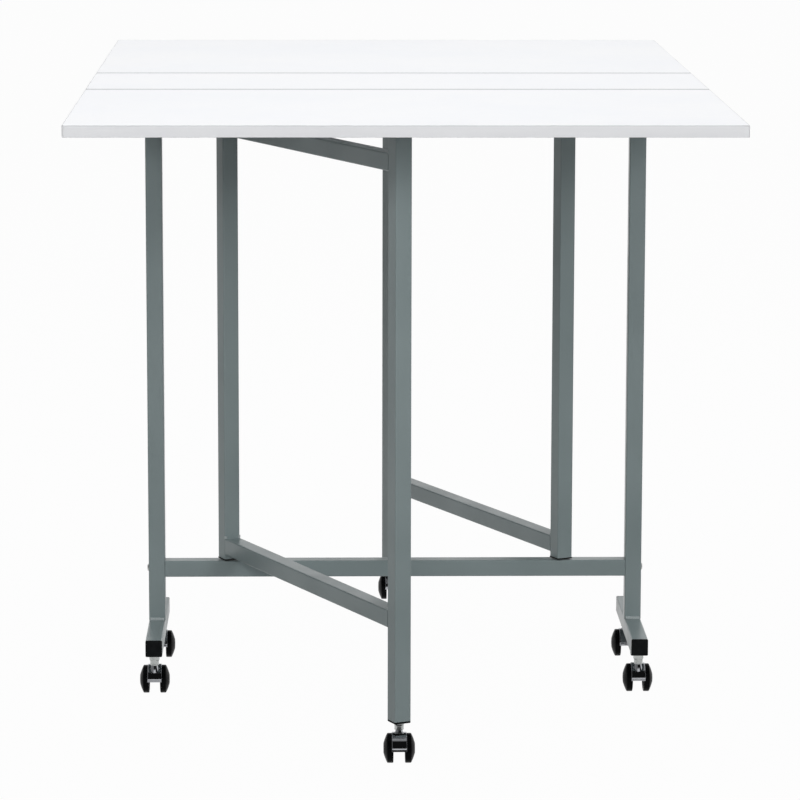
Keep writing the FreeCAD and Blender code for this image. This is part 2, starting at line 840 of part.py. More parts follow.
def hinge_half(label, way, knuckles):
    """Form one half of a butt hinge about its pin: a plate and its knuckles, drilled along X.

    Way is "-" for a plate towards the front and "" for one towards the rear. Each knuckle is a
    pair of expressions for its two ends along X.
    """
    radius = "hinge_barrel_diameter / 2"
    top = f"{radius} + hinge_clearance"
    low = f"{top} - hinge_plate_thickness"
    near = f"({radius} + hinge_clearance)"
    far = f"({radius} + hinge_plate_width)"
    half = "hinge_length / 2"
    body = new_body(label)
    plate = new_sketch(body, "XY_Plane", low)
    rectangle(plate, f"-{half}", half, f"{way}{near}", f"{way}{far}")
    pad(body, plate, "hinge_plate_thickness")
    for start, end in knuckles:
        barrel = new_sketch(body, "YZ_Plane", start)
        circle(barrel, "0", "0", "hinge_barrel_diameter")
        pad(body, barrel, f"({end}) - ({start})")
        tab = new_sketch(body, "XY_Plane", low)
        rectangle(tab, start, end, "0", f"{way}{near}")
        pad(body, tab, "hinge_plate_thickness")
    bore = new_sketch(body, "YZ_Plane")
    circle(bore, "0", "0", "hinge_pin_diameter + 2 * pivot_clearance")
    drill_through(body, bore)
    holes = new_sketch(body, "XY_Plane", low)
    for sign in ("-", ""):
        circle(holes, f"{sign}screw_spacing / 2", f"{way}screw_row", "screw_diameter")
    cut_upwards(body, holes, "hinge_plate_thickness")
    return body


def hinge_pin(label):
    """Turn a hinge pin along X with a head at each end."""
    pin = "hinge_pin_diameter / 2"
    head = "hinge_barrel_diameter / 2"
    half = "hinge_length / 2"
    thick = "hinge_plate_thickness"
    body = new_body(label)
    sketch = new_sketch(body, "XY_Plane")
    outline(sketch, [
        (f"-{half} - {thick}", "0"),
        (f"-{half} - {thick}", head),
        (f"-{half}", head),
        (f"-{half}", pin),
        (half, pin),
        (half, head),
        (f"{half} + {thick}", head),
        (f"{half} + {thick}", "0"),
    ])
    revolve(body, sketch, "H_Axis")
    return body


def make_hinges():
    """Build the hinges of both lines: the fixed halves, the pins and each leaf's halves."""
    half = "hinge_length / 2"
    third = "hinge_length / 6"
    outer_knuckles = [(f"-{half}", f"-{third} - hinge_clearance / 2"),
                      (f"{third} + hinge_clearance / 2", half)]
    middle_knuckle = [(f"-{third} + hinge_clearance / 2", f"{third} - hinge_clearance / 2")]
    fixed = []
    pins = []
    for leaf, line_y, inwards, outwards in (("front", "-hinge_line", "", "-"),
                                            ("rear", "hinge_line", "-", "")):
        moving = []
        for x in HINGE_PLACES:
            spot = shift(x=x, y=line_y, z="barrel_z")
            inner_half = hinge_half(f"{leaf}_fixed_hinge_half", inwards, outer_knuckles)
            outer_half = hinge_half(f"{leaf}_moving_hinge_half", outwards, middle_knuckle)
            fixed.append(place(inner_half, CENTRE, spot))
            moving.append(place(outer_half, CENTRE, spot))
            pins.append(place(hinge_pin(f"{leaf}_hinge_pin"), CENTRE, spot))
        group(f"{leaf}_leaf_hinge_plates", moving)
    group("centre_hinge_plates", fixed)
    group("hinge_pins", pins)


def gate_stop(label, frame):
    """Mould the block under a leaf that the open gate's leg rests against."""
    near = "(tube_side / 2 + stop_clearance)"
    body = new_body(label)
    block = new_sketch(body, "XY_Plane", "underside - stop_height")
    rectangle(block, "gate_radius - stop_length / 2", "gate_radius + stop_length / 2",
              f"-{near} - stop_width", f"-{near}")
    pad(body, block, "stop_height")
    low = size("underside - stop_height")

    def is_lower_rim(edge):
        return lies_level(edge, low)

    round_edges(body, "stop_edge_round", is_lower_rim)
    holes = new_sketch(body, "XY_Plane")
    for along in ("gate_radius - stop_length / 4", "gate_radius + stop_length / 4"):
        circle(holes, along, f"-{near} - stop_width / 2", "screw_diameter")
    drill_through(body, holes)
    return place(node(body), frame)


def make_top():
    """Build the boards, the hinges, the gate stops and every wood screw."""
    centre_low = "-centre_panel_length / 2"
    centre_high = "centre_panel_length / 2"
    front_high = f"{centre_low} - panel_gap"
    rear_low = f"{centre_high} + panel_gap"
    under_plate = "underside - hinge_plate_thickness"

    plate_screws = [
        (f"{side}side_leg_spacing / 2 + {x}", y)
        for side in ("-", "")
        for x, y in plate_screw_places()
    ]
    centre_screws = hinge_screw_places("-hinge_line", "") + hinge_screw_places("hinge_line", "-")
    panel("centre_panel", centre_low, centre_high, plate_screws + centre_screws,
          (centre_low, centre_high))

    front_hinge_screws = hinge_screw_places("-hinge_line", "-")
    front_stop_screws = stop_screw_places("")
    panel("front_leaf_panel", f"{front_high} - front_leaf_length", front_high,
          front_hinge_screws + front_stop_screws, (front_high,))

    rear_hinge_screws = hinge_screw_places("hinge_line", "")
    rear_stop_screws = stop_screw_places("-")
    panel("rear_leaf_panel", rear_low, f"{rear_low} + rear_leaf_length",
          rear_hinge_screws + rear_stop_screws, (rear_low,))

    make_hinges()
    gate_stop("front_leaf_gate_stop", FRONT_GATE)
    gate_stop("rear_leaf_gate_stop", REAR_GATE)

    plate_screw = (wood_screw("plate_screw", grip="top_plate_thickness"), "leg_top")
    hinge_screw = (wood_screw("hinge_screw", grip="hinge_plate_thickness"), under_plate)
    stop_screw = (wood_screw("stop_screw", grip="stop_height"), "underside - stop_height")
    screw_sets = (
        ("centre_panel_screws", ((plate_screws, plate_screw), (centre_screws, hinge_screw))),
        ("front_leaf_screws", ((front_hinge_screws, hinge_screw), (front_stop_screws, stop_screw))),
        ("rear_leaf_screws", ((rear_hinge_screws, hinge_screw), (rear_stop_screws, stop_screw))),
    )
    for label, rows in screw_sets:
        copies = [
            copy_of(screw, label + "_copy", CENTRE, shift(x=x, y=y, z=seat))
            for places, (screw, seat) in rows
            for x, y in places
        ]
        group(label, copies)


# --------------------------------------------------------------------------------------------
# Checks and files
# --------------------------------------------------------------------------------------------

def check_document():
    """Stop if any object failed to build or any sub-part's shape is null or invalid."""
    for item in doc.Objects:
        if "Invalid" in item.State or "Error" in item.State:
            raise RuntimeError(f"{item.Label} failed: {item.State}")
    for item in nodes:
        if item.Shape.isNull() or not item.Shape.isValid():
            raise RuntimeError(f"{item.Label} has no valid shape")


def write_files():
    """Write each sub-part to its own STEP file."""
    os.makedirs("parts", exist_ok=True)
    for item in nodes:
        item.Shape.exportStep(os.path.join("parts", item.Label + ".step"))
        print(item.Label, len(item.Shape.Solids), round(item.Shape.Volume, 1))
    print(len(nodes), "sub-parts")


fill_sheet()
make_fixed_frame()
make_gate("front", FRONT_GATE)
make_gate("rear", REAR_GATE)
make_top()
doc.recompute()
check_document()
write_files()
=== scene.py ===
"""Looks of the folding sewing and cutting table.

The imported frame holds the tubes, hinges, pins, plugs and stops, which keep their shapes and get
their finishes here. The boards, casters, screws, bolts and weld beads are modelled around it.
Lengths are in metres in the row frame: +Z up, +Y from the front leaf to the rear leaf.
"""

import json
import logging
import math
from dataclasses import dataclass
from enum import Enum, IntEnum
from typing import Iterable, Sequence

import bmesh
import bpy
from mathutils import Matrix, Vector


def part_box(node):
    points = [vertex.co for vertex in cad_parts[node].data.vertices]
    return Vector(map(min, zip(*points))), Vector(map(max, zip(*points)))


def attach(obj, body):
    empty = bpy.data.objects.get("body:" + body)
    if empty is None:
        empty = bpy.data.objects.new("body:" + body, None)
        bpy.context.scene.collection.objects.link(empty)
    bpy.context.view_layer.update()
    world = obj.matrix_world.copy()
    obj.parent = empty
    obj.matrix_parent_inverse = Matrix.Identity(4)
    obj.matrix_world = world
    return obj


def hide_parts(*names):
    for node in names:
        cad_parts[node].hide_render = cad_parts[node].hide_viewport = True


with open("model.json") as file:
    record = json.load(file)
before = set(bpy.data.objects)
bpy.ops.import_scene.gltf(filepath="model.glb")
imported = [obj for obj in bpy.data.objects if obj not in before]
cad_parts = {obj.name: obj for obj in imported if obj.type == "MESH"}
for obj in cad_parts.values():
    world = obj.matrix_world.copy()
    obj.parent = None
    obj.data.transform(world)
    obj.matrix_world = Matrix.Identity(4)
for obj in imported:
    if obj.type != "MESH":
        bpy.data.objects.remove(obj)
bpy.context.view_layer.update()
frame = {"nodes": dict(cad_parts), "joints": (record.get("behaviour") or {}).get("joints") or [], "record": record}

LOG = logging.getLogger("cutting_table")
MM = 0.001

Colour = tuple[float, float, float]
Pair = tuple[float, float]
Place = tuple[float, float, float]
Mesh = bpy.types.Mesh
Object = bpy.types.Object
Material = bpy.types.Material
Shape = bmesh.types.BMesh
Socket = bpy.types.NodeSocket

# The part of a noise pattern's reach that moves a roughness, and the part that mixes a colour.
NOISE_REACH: Pair = (0.3, 0.7)
TINT_REACH: Pair = (0.35, 0.65)


class Slot(Enum):
    """The record's material slots."""

    WHITE_LAMINATE = "white_laminate"
    GREY_PAINT = "grey_paint"
    BLACK_PLUG = "black_plug"
    BLACK_WHEEL = "black_wheel"
    CHROME_PLATE = "chrome_plate"
    ZINC_STEEL = "zinc_steel"
    NYLON = "nylon"


class Side(Enum):
    """The two ends of the table, by the sign of Y."""

    FRONT = -1
    REAR = 1


class BoardFace(IntEnum):
    """Which of a board's materials a face has."""

    EDGE_BAND = 1
    SEAM = 2
    # Beside a hinge line the band is dark grey: painted shade of the gap between the boards.
    HINGE_BAND = 3


# ---- Finishes ----


class NodeGraph:
    """The nodes and links of one tree."""

    def __init__(self, tree: bpy.types.NodeTree) -> None:
        """Take up a tree.

        Args:
            tree: The tree that gets the nodes.
        """
        self.nodes = tree.nodes
        self.links = tree.links

    def node(self, kind: str, *values: object, **named: object) -> bpy.types.Node:
        """Add a node and fill its inputs.

        Args:
            kind: The node's type.
            values: A socket or a plain value for each input, in order.
            named: The same for inputs by their names, with _ for a space.

        Returns:
            The node.
        """
        made = self.nodes.new(kind)
        for socket, value in (*enumerate(values), *named.items()):
            self.fill(made, socket, value)
        return made

    def fill(self, node: bpy.types.Node, socket: int | str, value: object) -> None:
        """Link or set an input.

        Args:
            node: The node.
            socket: The input's number, or its name with _ for a space.
            value: A socket or a plain value.
        """
        if isinstance(socket, int):
            target = node.inputs[socket]
        else:
            name = socket.replace("_", " ")
            target = next(item for item in node.inputs if item.name == name and item.enabled)
        if isinstance(value, Socket):
            self.links.new(value, target)
        else:
            target.default_value = value

    def math(self, operation: str, *values: Socket | float) -> Socket:
        """Add a sum on numbers or sockets."""
        made = self.node("ShaderNodeMath", *values)
        made.operation = operation
        return made.outputs["Value"]

    def mapped(
        self, source: Socket, given: Pair, wanted: Pair = (0.0, 1.0), way: str = "LINEAR"
    ) -> Socket:
        """Turn one range of a value into another.

        Args:
            source: The value.
            given: Two of its values.
            wanted: What they become.
            way: How it runs between them, LINEAR or SMOOTHSTEP.

        Returns:
            The new value.
        """
        made = self.node("ShaderNodeMapRange", source, *given, *wanted)
        made.interpolation_type = way
        return made.outputs["Result"]

    def ramp(self, source: Socket, stops: Iterable[tuple[float, Colour]]) -> Socket:
        """Turn a value into a colour.

        Args:
            source: The value.
            stops: Some of its values in order, each with its colour.

        Returns:
            The colour.
        """
        made = self.node("ShaderNodeValToRGB", source)
        elements = made.color_ramp.elements
        stops = tuple(stops)
        while len(elements) < len(stops):
            elements.new(0.5)
        for element, (position, colour) in zip(elements, stops):
            element.position = position
            element.color = (*colour, 1.0)
        return made.outputs["Color"]


class ShaderGraph(NodeGraph):
    """One material's nodes, laid over the piece's Object coordinates."""

    def __init__(self, name: str) -> None:
        """Start a material with its Principled shader.

        Args:
            name: The material's name.
        """
        self.material = bpy.data.materials.new(name)
        self.material.use_nodes = True
        super().__init__(self.material.node_tree)
        self.shader = self.nodes["Principled BSDF"]
        self.place = self.node("ShaderNodeTexCoord").outputs["Object"]

    def shade(self, **inputs: object) -> None:
        """Fill the shader's inputs, by their names with _ for a space."""
        for socket, value in inputs.items():
            self.fill(self.shader, socket, value)

    def noise(self, scale: float, detail: float = 2.0, stretch: Place = (1.0, 1.0, 1.0)) -> Socket:
        """Add a noise pattern.

        Args:
            scale: Its features per metre.
            detail: Its octaves.
            stretch: A factor on each coordinate.

        Returns:
            The pattern's value, from 0 to 1.
        """
        place = self.node("ShaderNodeMapping", Vector=self.place, Scale=stretch).outputs["Vector"]
        texture = self.node("ShaderNodeTexNoise", Vector=place, Scale=scale, Detail=detail)
        return texture.outputs[0]

    def gloss(self, pattern: Socket, low: float, high: float) -> None:
        """Let a pattern move the roughness between two values."""
        self.shade(Roughness=self.mapped(pattern, NOISE_REACH, (low, high)))

    def tint(self, pattern: Socket, first: Colour, second: Colour) -> None:
        """Let a pattern mix the base colour from two colours."""
        self.shade(Base_Color=self.ramp(pattern, zip(TINT_REACH, (first, second))))

    def relief(self, *patterns: tuple[Socket, float]) -> None:
        """Raise the surface by patterns, each with its height in metres."""
        normal = None
        for pattern, height in patterns:
            bump = self.node("ShaderNodeBump", Strength=1.0, Distance=height, Height=pattern)
            if normal is not None:
                self.fill(bump, "Normal", normal)
            normal = bump.outputs["Normal"]
        self.shade(Normal=normal)


@dataclass(frozen=True)
class LaminateFinish:
    """White melamine face: a faint pebble texture under a satin sheen."""

    name: str = "white_laminate_face"
    cool: Colour = (0.885, 0.897, 0.925)
    warm: Colour = (0.905, 0.912, 0.930)
    gloss: Pair = (0.34, 0.44)
    pebble: float = 1400.0
    pebble_height: float = 0.012 * MM

    def material(self) -> Material:
        """Build the finish."""
        graph = ShaderGraph(self.name)
        graph.tint(graph.noise(5.0, 3.0), self.cool, self.warm)
        graph.gloss(graph.noise(60.0, 3.0), *self.gloss)
        graph.relief((graph.noise(self.pebble), self.pebble_height))
        return graph.material


@dataclass(frozen=True)
class EdgeBandFinish:
    """Thin plastic band ironed on a board's edge, scraped smooth along its length."""

    # The band's default grey, a little darker than the face, is partly its own tone and partly painted shade of
    # the upright edges.
    name: str = "white_edge_band"
    colour: Colour = (0.835, 0.843, 0.862)
    scraped: Colour = (0.810, 0.818, 0.838)
    shine: float = 0.5
    gloss: Pair = (0.30, 0.42)
    scrape: float = 900.0
    scrape_height: float = 0.006 * MM

    def material(self) -> Material:
        """Build the finish."""
        graph = ShaderGraph(self.name)
        graph.tint(graph.noise(9.0, 3.0, (1.0, 1.0, 8.0)), self.colour, self.scraped)
        graph.gloss(graph.noise(120.0), *self.gloss)
        graph.shade(Specular_IOR_Level=self.shine)
        graph.relief((graph.noise(self.scrape, 2.0, (0.03, 0.03, 1.0)), self.scrape_height))
        return graph.material


@dataclass(frozen=True)
class PaintFinish:
    """Satin silver-grey powder coat on steel, with a fine orange peel."""

    name: str = "grey_powder_coat"
    deep: Colour = (0.220, 0.270, 0.274)
    light: Colour = (0.252, 0.306, 0.311)
    shine: float = 0.42
    metallic: float = 0.05
    gloss: Pair = (0.28, 0.36)
    peel: float = 650.0
    peel_height: float = 0.012 * MM
    flake: float = 3200.0
    flake_height: float = 0.002 * MM

    def material(self) -> Material:
        """Build the finish."""
        graph = ShaderGraph(self.name)
        graph.tint(graph.noise(6.0, 1.0), self.deep, self.light)
        graph.gloss(graph.noise(16.0, 1.0), *self.gloss)
        graph.shade(Metallic=self.metallic, Specular_IOR_Level=self.shine)
        peel = graph.noise(self.peel)
        flake = graph.noise(self.flake, 1.0)
        graph.relief((peel, self.peel_height), (flake, self.flake_height))
        return graph.material


@dataclass(frozen=True)
class MouldedFinish:
    """Moulded plastic, matt where the tool was etched and glossy where it was polished."""

    name: str
    deep: Colour
    light: Colour
    gloss: Pair
    shine: float
    grain: float = 2200.0
    grain_height: float = 0.010 * MM

    def material(self) -> Material:
        """Build the finish."""
        graph = ShaderGraph(self.name)
        graph.tint(graph.noise(90.0, 3.0), self.deep, self.light)
        graph.gloss(graph.noise(160.0, 3.0), *self.gloss)
        graph.shade(Specular_IOR_Level=self.shine)
        graph.relief((graph.noise(self.grain), self.grain_height))
        return graph.material


@dataclass(frozen=True)
class MetalFinish:
    """Plated metal: its tone drifts a little and its polish is not even."""

    name: str
    deep: Colour
    light: Colour
    gloss: Pair
    ripple: float
    ripple_height: float

    def material(self) -> Material:
        """Build the finish."""
        graph = ShaderGraph(self.name)
        graph.shade(Metallic=1.0)
        graph.tint(graph.noise(110.0, 3.0), self.deep, self.light)
        graph.gloss(graph.noise(240.0, 3.0), *self.gloss)
        graph.relief((graph.noise(self.ripple), self.ripple_height))
        return graph.material


SEAM_FINISH = EdgeBandFinish("laminate_seam", (0.58, 0.59, 0.60), (0.54, 0.55, 0.56), 0.2)
# Dark grey for the board edges beside each hinge line: painted shade of the gap between the boards.
HINGE_GAP_SHADE_FINISH = EdgeBandFinish("hinge_edge_band", (0.17, 0.175, 0.18), (0.13, 0.135, 0.14), 0.0)
# A lighter, glossier coat for the side frames' beads and the gates' tacks: a painted highlight where they catch
# the light from above.
WELD_HIGHLIGHT_FINISH = PaintFinish(
    "weld_powder_coat", (0.34, 0.39, 0.395), (0.44, 0.49, 0.495), shine=0.6, peel=1100.0
)
PLUG_FINISH = MouldedFinish(
    "black_plug_plastic", (0.005, 0.006, 0.0064), (0.008, 0.0092, 0.0096), (0.36, 0.52), 0.08
)
WHEEL_FINISH = MouldedFinish(
    "black_wheel_nylon", (0.0018, 0.002, 0.0022), (0.0034, 0.0036, 0.004), (0.2, 0.3), 0.04,
    grain_height=0.003 * MM,
)
BUSH_FINISH = MouldedFinish(
    "black_bush_nylon", (0.006, 0.006, 0.006), (0.010, 0.010, 0.010), (0.42, 0.58), shine=0.14
)
CHROME_FINISH = MetalFinish(
    "dark_chrome", (0.39, 0.40, 0.42), (0.44, 0.45, 0.475), (0.05, 0.11), 260.0, 0.006 * MM
)
STEM_FINISH = MetalFinish(
    "turned_stem_chrome", (0.48, 0.50, 0.49), (0.70, 0.72, 0.71), (0.16, 0.30), 420.0, 0.030 * MM
)
ZINC_FINISH = MetalFinish(
    "zinc_plate", (0.52, 0.53, 0.52), (0.66, 0.67, 0.66), (0.26, 0.42), 1500.0, 0.008 * MM
)


# ---- Mesh work ----


class Workshop:
    """Makes meshes into finished pieces and hands them to the frame."""

    def __init__(self) -> None:
        """Mix every finish once."""
        self.board_edges = [
            EdgeBandFinish().material(),
            SEAM_FINISH.material(),
            HINGE_GAP_SHADE_FINISH.material(),
        ]
        self.turned_stem = STEM_FINISH.material()
        # The lighter coat that paints the weld highlights.
        self.weld_highlight_paint = WELD_HIGHLIGHT_FINISH.material()
        self.finishes = {
            Slot.WHITE_LAMINATE: LaminateFinish().material(),
            Slot.GREY_PAINT: PaintFinish().material(),
            Slot.BLACK_PLUG: PLUG_FINISH.material(),
            Slot.BLACK_WHEEL: WHEEL_FINISH.material(),
            Slot.CHROME_PLATE: CHROME_FINISH.material(),
            Slot.ZINC_STEEL: ZINC_FINISH.material(),
            Slot.NYLON: BUSH_FINISH.material(),
        }

    def finish(
        self,
        mesh: Mesh,
        name: str,
        body: str,
        slot: Slot,
        replaced: Iterable[str] = (),
        extra: Sequence[Material] = (),
        main: Material | None = None,
    ) -> None:
        """Turn a placed mesh into a piece of the object.

        Args:
            mesh: The mesh, with its place in its vertices.
            name: The piece's name.
            body: The body that carries it.
            slot: The record's slot for its finish.
            replaced: The CAD nodes that it stands for.
            extra: Further materials, for faces with an index above 0.
            main: Its own version of the slot's finish, if it has one.
        """
        mesh.name = name
        for index, material in enumerate((main or self.finishes[slot], *extra)):
            if index < len(mesh.materials):
                mesh.materials[index] = material
            else:
                mesh.materials.append(material)
        piece = bpy.data.objects.new(name, mesh)
        bpy.context.scene.collection.objects.link(piece)
        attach(piece, body)
        if replaced:
            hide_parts(*replaced)
        LOG.info("%s rides on %s with %d faces", name, body, len(mesh.polygons))

    def dress_frame(self) -> None:
        """Give every CAD node the finish of its slot in the record."""
        for part in frame["record"]["subparts"]:
            node = frame["nodes"][part["node"]]
            material = self.finishes[Slot(part["material_slot"])]
            if not node.material_slots:
                node.data.materials.append(material)
            for place in node.material_slots:
                place.material = material


def mesh_from(shape: Shape, name: str, sharp_angle: float = 32.0) -> Mesh:
    """Close a shape, turn its faces outwards and smooth all but its sharp edges.

    Args:
        shape: The shape, which is freed.
        name: The mesh's name.
        sharp_angle: The angle in degrees above which an edge stays sharp.

    Returns:
        The mesh.
    """
    bmesh.ops.remove_doubles(shape, verts=shape.verts, dist=0.001 * MM)
    bmesh.ops.recalc_face_normals(shape, faces=shape.faces)
    mesh = bpy.data.meshes.new(name)
    shape.to_mesh(mesh)
    shape.free()
    mesh.shade_smooth()
    mesh.set_sharp_from_angle(angle=math.radians(sharp_angle))
    return mesh


def bridge_rings(
    shape: Shape, rings: Sequence[Sequence[bmesh.types.BMVert]], material: int = 0
) -> None:
    """Join rings of as many points each by bands of four-sided faces.

    Args:
        shape: The shape that gets the faces.
        rings: The rings, one after another.
        material: The faces' material index.
    """
    for ring, following in zip(rings, rings[1:]):
        count = len(ring)
        for index in range(count):
            nearby = (index + 1) % count
            corners = [ring[index], ring[nearby], following[nearby], following[index]]
            face = shape.faces.new(corners)
            face.material_index = material


def arc(centre: Pair, radius: float, start: float, end: float, steps: int) -> list[Pair]:
    """List points along an arc.

    Args:
        centre: The arc's centre.
        radius: Its radius.
        start: Its first angle in degrees.
        end: Its last angle in degrees.
        steps: How many stretches it has.

    Returns:
        The points, both ends among them.
    """
    points = []
    for index in range(steps + 1):
        angle = math.radians(start + (end - start) * index / steps)
        points.append((centre[0] + radius * math.cos(angle), centre[1] + radius * math.sin(angle)))
    return points


def lathe(profile: Sequence[Pair], segments: int = 48) -> Shape:
    """Turn a profile about Z.

    Args:
        profile: Pairs of radius and height, from one pole on the axis to the other.
        segments: How many faces go round.

    Returns:
        The closed shape.
    """
    shape = bmesh.new()
    turns = [math.tau * index / segments for index in range(segments)]
    rings = []
    for radius, height in profile:
        rings.append([
            shape.verts.new((radius * math.cos(turn), radius * math.sin(turn), height))
            for turn in turns
        ])
    bridge_rings(shape, rings)
    bmesh.ops.remove_doubles(shape, verts=shape.verts, dist=0.0005 * MM)
    return shape


def rod(radius: float, low: float, high: float) -> list[Pair]:
    """Give the profile of a plain rod."""
    return [(0.0, low), (radius, low), (radius, high), (0.0, high)]


def cut_or_join(base: Mesh, tool: Mesh, operation: str) -> Mesh:
    """Combine two closed meshes.

    Args:
        base: The mesh that is changed.
        tool: The mesh that is added or taken away.
        operation: UNION or DIFFERENCE.

    Returns:
        The combined mesh.
    """
    target = bpy.data.objects.new("combined", base)
    helper = bpy.data.objects.new("tool", tool)
    for item in (target, helper):
        bpy.context.scene.collection.objects.link(item)
    modifier = target.modifiers.new("combine", "BOOLEAN")
    modifier.operation = operation
    modifier.solver = "EXACT"
    modifier.object = helper
    result = baked(target)
    for item in (target, helper):
        bpy.data.objects.remove(item)
    return result


def baked(item: Object) -> Mesh:
    """Give an object's mesh as its modifiers leave it."""
    depsgraph = bpy.context.evaluated_depsgraph_get()
    depsgraph.update()
    return bpy.data.meshes.new_from_object(item.evaluated_get(depsgraph), depsgraph=depsgraph)


def placed(mesh: Mesh, place: Matrix) -> Mesh:
    """Copy a mesh to a place of its own."""
    copy = mesh.copy()
    copy.transform(place)
    return copy


def gathered(*meshes: Mesh) -> Shape:
    """Put meshes together in one shape."""
    shape = bmesh.new()
    for mesh in meshes:
        shape.from_mesh(mesh)
    return shape


def add_block(
    shape: Shape, size: Sequence[float], middle: Sequence[float] = (0.0, 0.0, 0.0)
) -> list[bmesh.types.BMVert]:
    """Add a block.

    Args:
        shape: The shape that gets it.
        size: Its size along X, Y and Z.
        middle: Its middle.

    Returns:
        Its corners.
    """
    corners = bmesh.ops.create_cube(shape, size=1.0)["verts"]
    bmesh.ops.scale(shape, vec=size, verts=corners)
    bmesh.ops.translate(shape, vec=middle, verts=corners)
    return corners


def hidden(mesh: Mesh, name: str) -> Object:
    """Make a source object for a tree, out of the scene."""
    return bpy.data.objects.new(name + "_source", mesh)


def islands(node: str) -> list[tuple[Vector, Vector]]:
    """Find the boxes of a CAD node's separate solids.

    Args:
        node: The node's name.

    Returns:
        The lowest and highest corner of each solid.
    """
    shape = gathered(frame["nodes"][node].data)
    bmesh.ops.remove_doubles(shape, verts=shape.verts, dist=0.002 * MM)
    boxes = []
    unseen = set(shape.verts)
    while unseen:
        stack = [unseen.pop()]
        corners = []
        while stack:
            vertex = stack.pop()
            corners.append(vertex.co.copy())
            for edge in vertex.link_edges:
                other = edge.other_vert(vertex)
                if other in unseen:
                    unseen.remove(other)
                    stack.append(other)
        boxes.append(tuple(Vector([pick(axis) for axis in zip(*corners)]) for pick in (min, max)))
    shape.free()
    return sorted(boxes, key=lambda box: tuple(round(value, 4) for value in box[0]))


# ---- Geometry Nodes for what repeats ----


class NodeTree(NodeGraph):
    """A Geometry Nodes tree with named inputs, used on one mesh at a time."""

    def __init__(self, name: str, **inputs: str) -> None:
        """Start a tree that takes and gives a geometry and takes a material.

        Args:
            name: The tree's name.
            inputs: The kind of each further input, by its name with _ for a space.
        """
        self.tree = bpy.data.node_groups.new(name, "GeometryNodeTree")
        super().__init__(self.tree)
        for key, kind in {"Geometry": "Geometry", **inputs, "Material": "Material"}.items():
            self.tree.interface.new_socket(
                key.replace("_", " "), in_out="INPUT", socket_type="NodeSocket" + kind
            )
        self.tree.interface.new_socket(
            "Geometry", in_out="OUTPUT", socket_type="NodeSocketGeometry"
        )
        self.given = self.node("NodeGroupInput").outputs

    def attribute(self, name: str, kind: str) -> Socket:
        """Read a named attribute of the points."""
        reader = self.node("GeometryNodeInputNamedAttribute", Name=name)
        reader.data_type = kind
        return reader.outputs["Attribute"]

    def chance(self, low: float, high: float) -> Socket:
        """Draw a number for each point or curve, by the tree's seed.

        Args:
            low: The least that it can be.
            high: The most.

        Returns:
            The number.
        """
        made = self.node("FunctionNodeRandomValue")
        made.data_type = "FLOAT"
        for socket, value in (("Min", low), ("Max", high), ("Seed", self.given["Seed"])):
            self.fill(made, socket, value)
        return next(item for item in made.outputs if item.enabled)

    def copies(self, source: Socket, points: Socket, **inputs: object) -> Socket:
        """Set a source object's mesh on points.

        Args:
            source: The source object.
            points: The points.
            inputs: What turns or stretches the copies.

        Returns:
            The copies.
        """
        shape = self.node("GeometryNodeObjectInfo", Object=source).outputs["Geometry"]
        made = self.node("GeometryNodeInstanceOnPoints", Points=points, Instance=shape, **inputs)
        return made.outputs["Instances"]

    def close(self, geometry: Socket) -> None:
        """End the tree with Realize Instances and Set Material.

        Args:
            geometry: What the tree has made.
        """
        realised = self.node("GeometryNodeRealizeInstances", Geometry=geometry)
        painted = self.node(
            "GeometryNodeSetMaterial",
            Geometry=realised.outputs["Geometry"],
            Material=self.given["Material"],
        )
        self.node("NodeGroupOutput", Geometry=painted.outputs["Geometry"])

    def grow(self, seed_mesh: Mesh, values: dict[str, object]) -> Mesh:
        """Run the tree on a mesh of points or edges.

        Args:
            seed_mesh: The mesh that the tree starts from.
            values: A value for each named input.

        Returns:
            A plain mesh.
        """
        carrier = bpy.data.objects.new("carrier", seed_mesh)
        bpy.context.scene.collection.objects.link(carrier)
        modifier = carrier.modifiers.new("grow", "NODES")
        modifier.node_group = self.tree
        for item in self.tree.interface.items_tree:
            if item.in_out == "INPUT" and item.name in values:
                modifier[item.identifier] = values[item.name]
        result = baked(carrier)
        bpy.data.objects.remove(carrier)
        return result


class WeldTree(NodeTree):
    """A rippled weld bead along each path of edges.

    The points carry their bead's radius. The bead swells and shrinks once for each drop of metal.
    """

    step_share = 0.25
    spread = (0.94, 1.06)
    sides = 10

    def __init__(self) -> None:
        """Build the tree."""
        super().__init__("weld_bead", Ripple_Pitch="Float", Ripple_Depth="Float", Seed="Int")
        pitch = self.given["Ripple Pitch"]
        path = self.node("GeometryNodeMeshToCurve", Mesh=self.given["Geometry"])
        fine = self.node("GeometryNodeResampleCurve", Curve=path.outputs["Curve"])
        fine.mode = "LENGTH"
        self.fill(fine, "Length", self.math("MULTIPLY", pitch, self.step_share))
        run = self.node("GeometryNodeSplineParameter").outputs["Length"]
        phase = self.math("MULTIPLY", self.math("DIVIDE", run, pitch), math.pi)
        wave = self.math("ABSOLUTE", self.math("SINE", phase))
        ripple = self.math("MULTIPLY", wave, self.given["Ripple Depth"])
        radius = self.math(
            "MULTIPLY", self.attribute("bead_radius", "FLOAT"), self.math("ADD", 1.0, ripple)
        )
        ring = self.node("GeometryNodeCurvePrimitiveCircle", Resolution=self.sides, Radius=1.0)
        bead = self.node(
            "GeometryNodeCurveToMesh",
            Curve=fine.outputs["Curve"],
            Profile_Curve=ring.outputs["Curve"],
            Scale=self.math("MULTIPLY", radius, self.chance(*self.spread)),
            Fill_Caps=True,
        )
        self.close(bead.outputs["Mesh"])


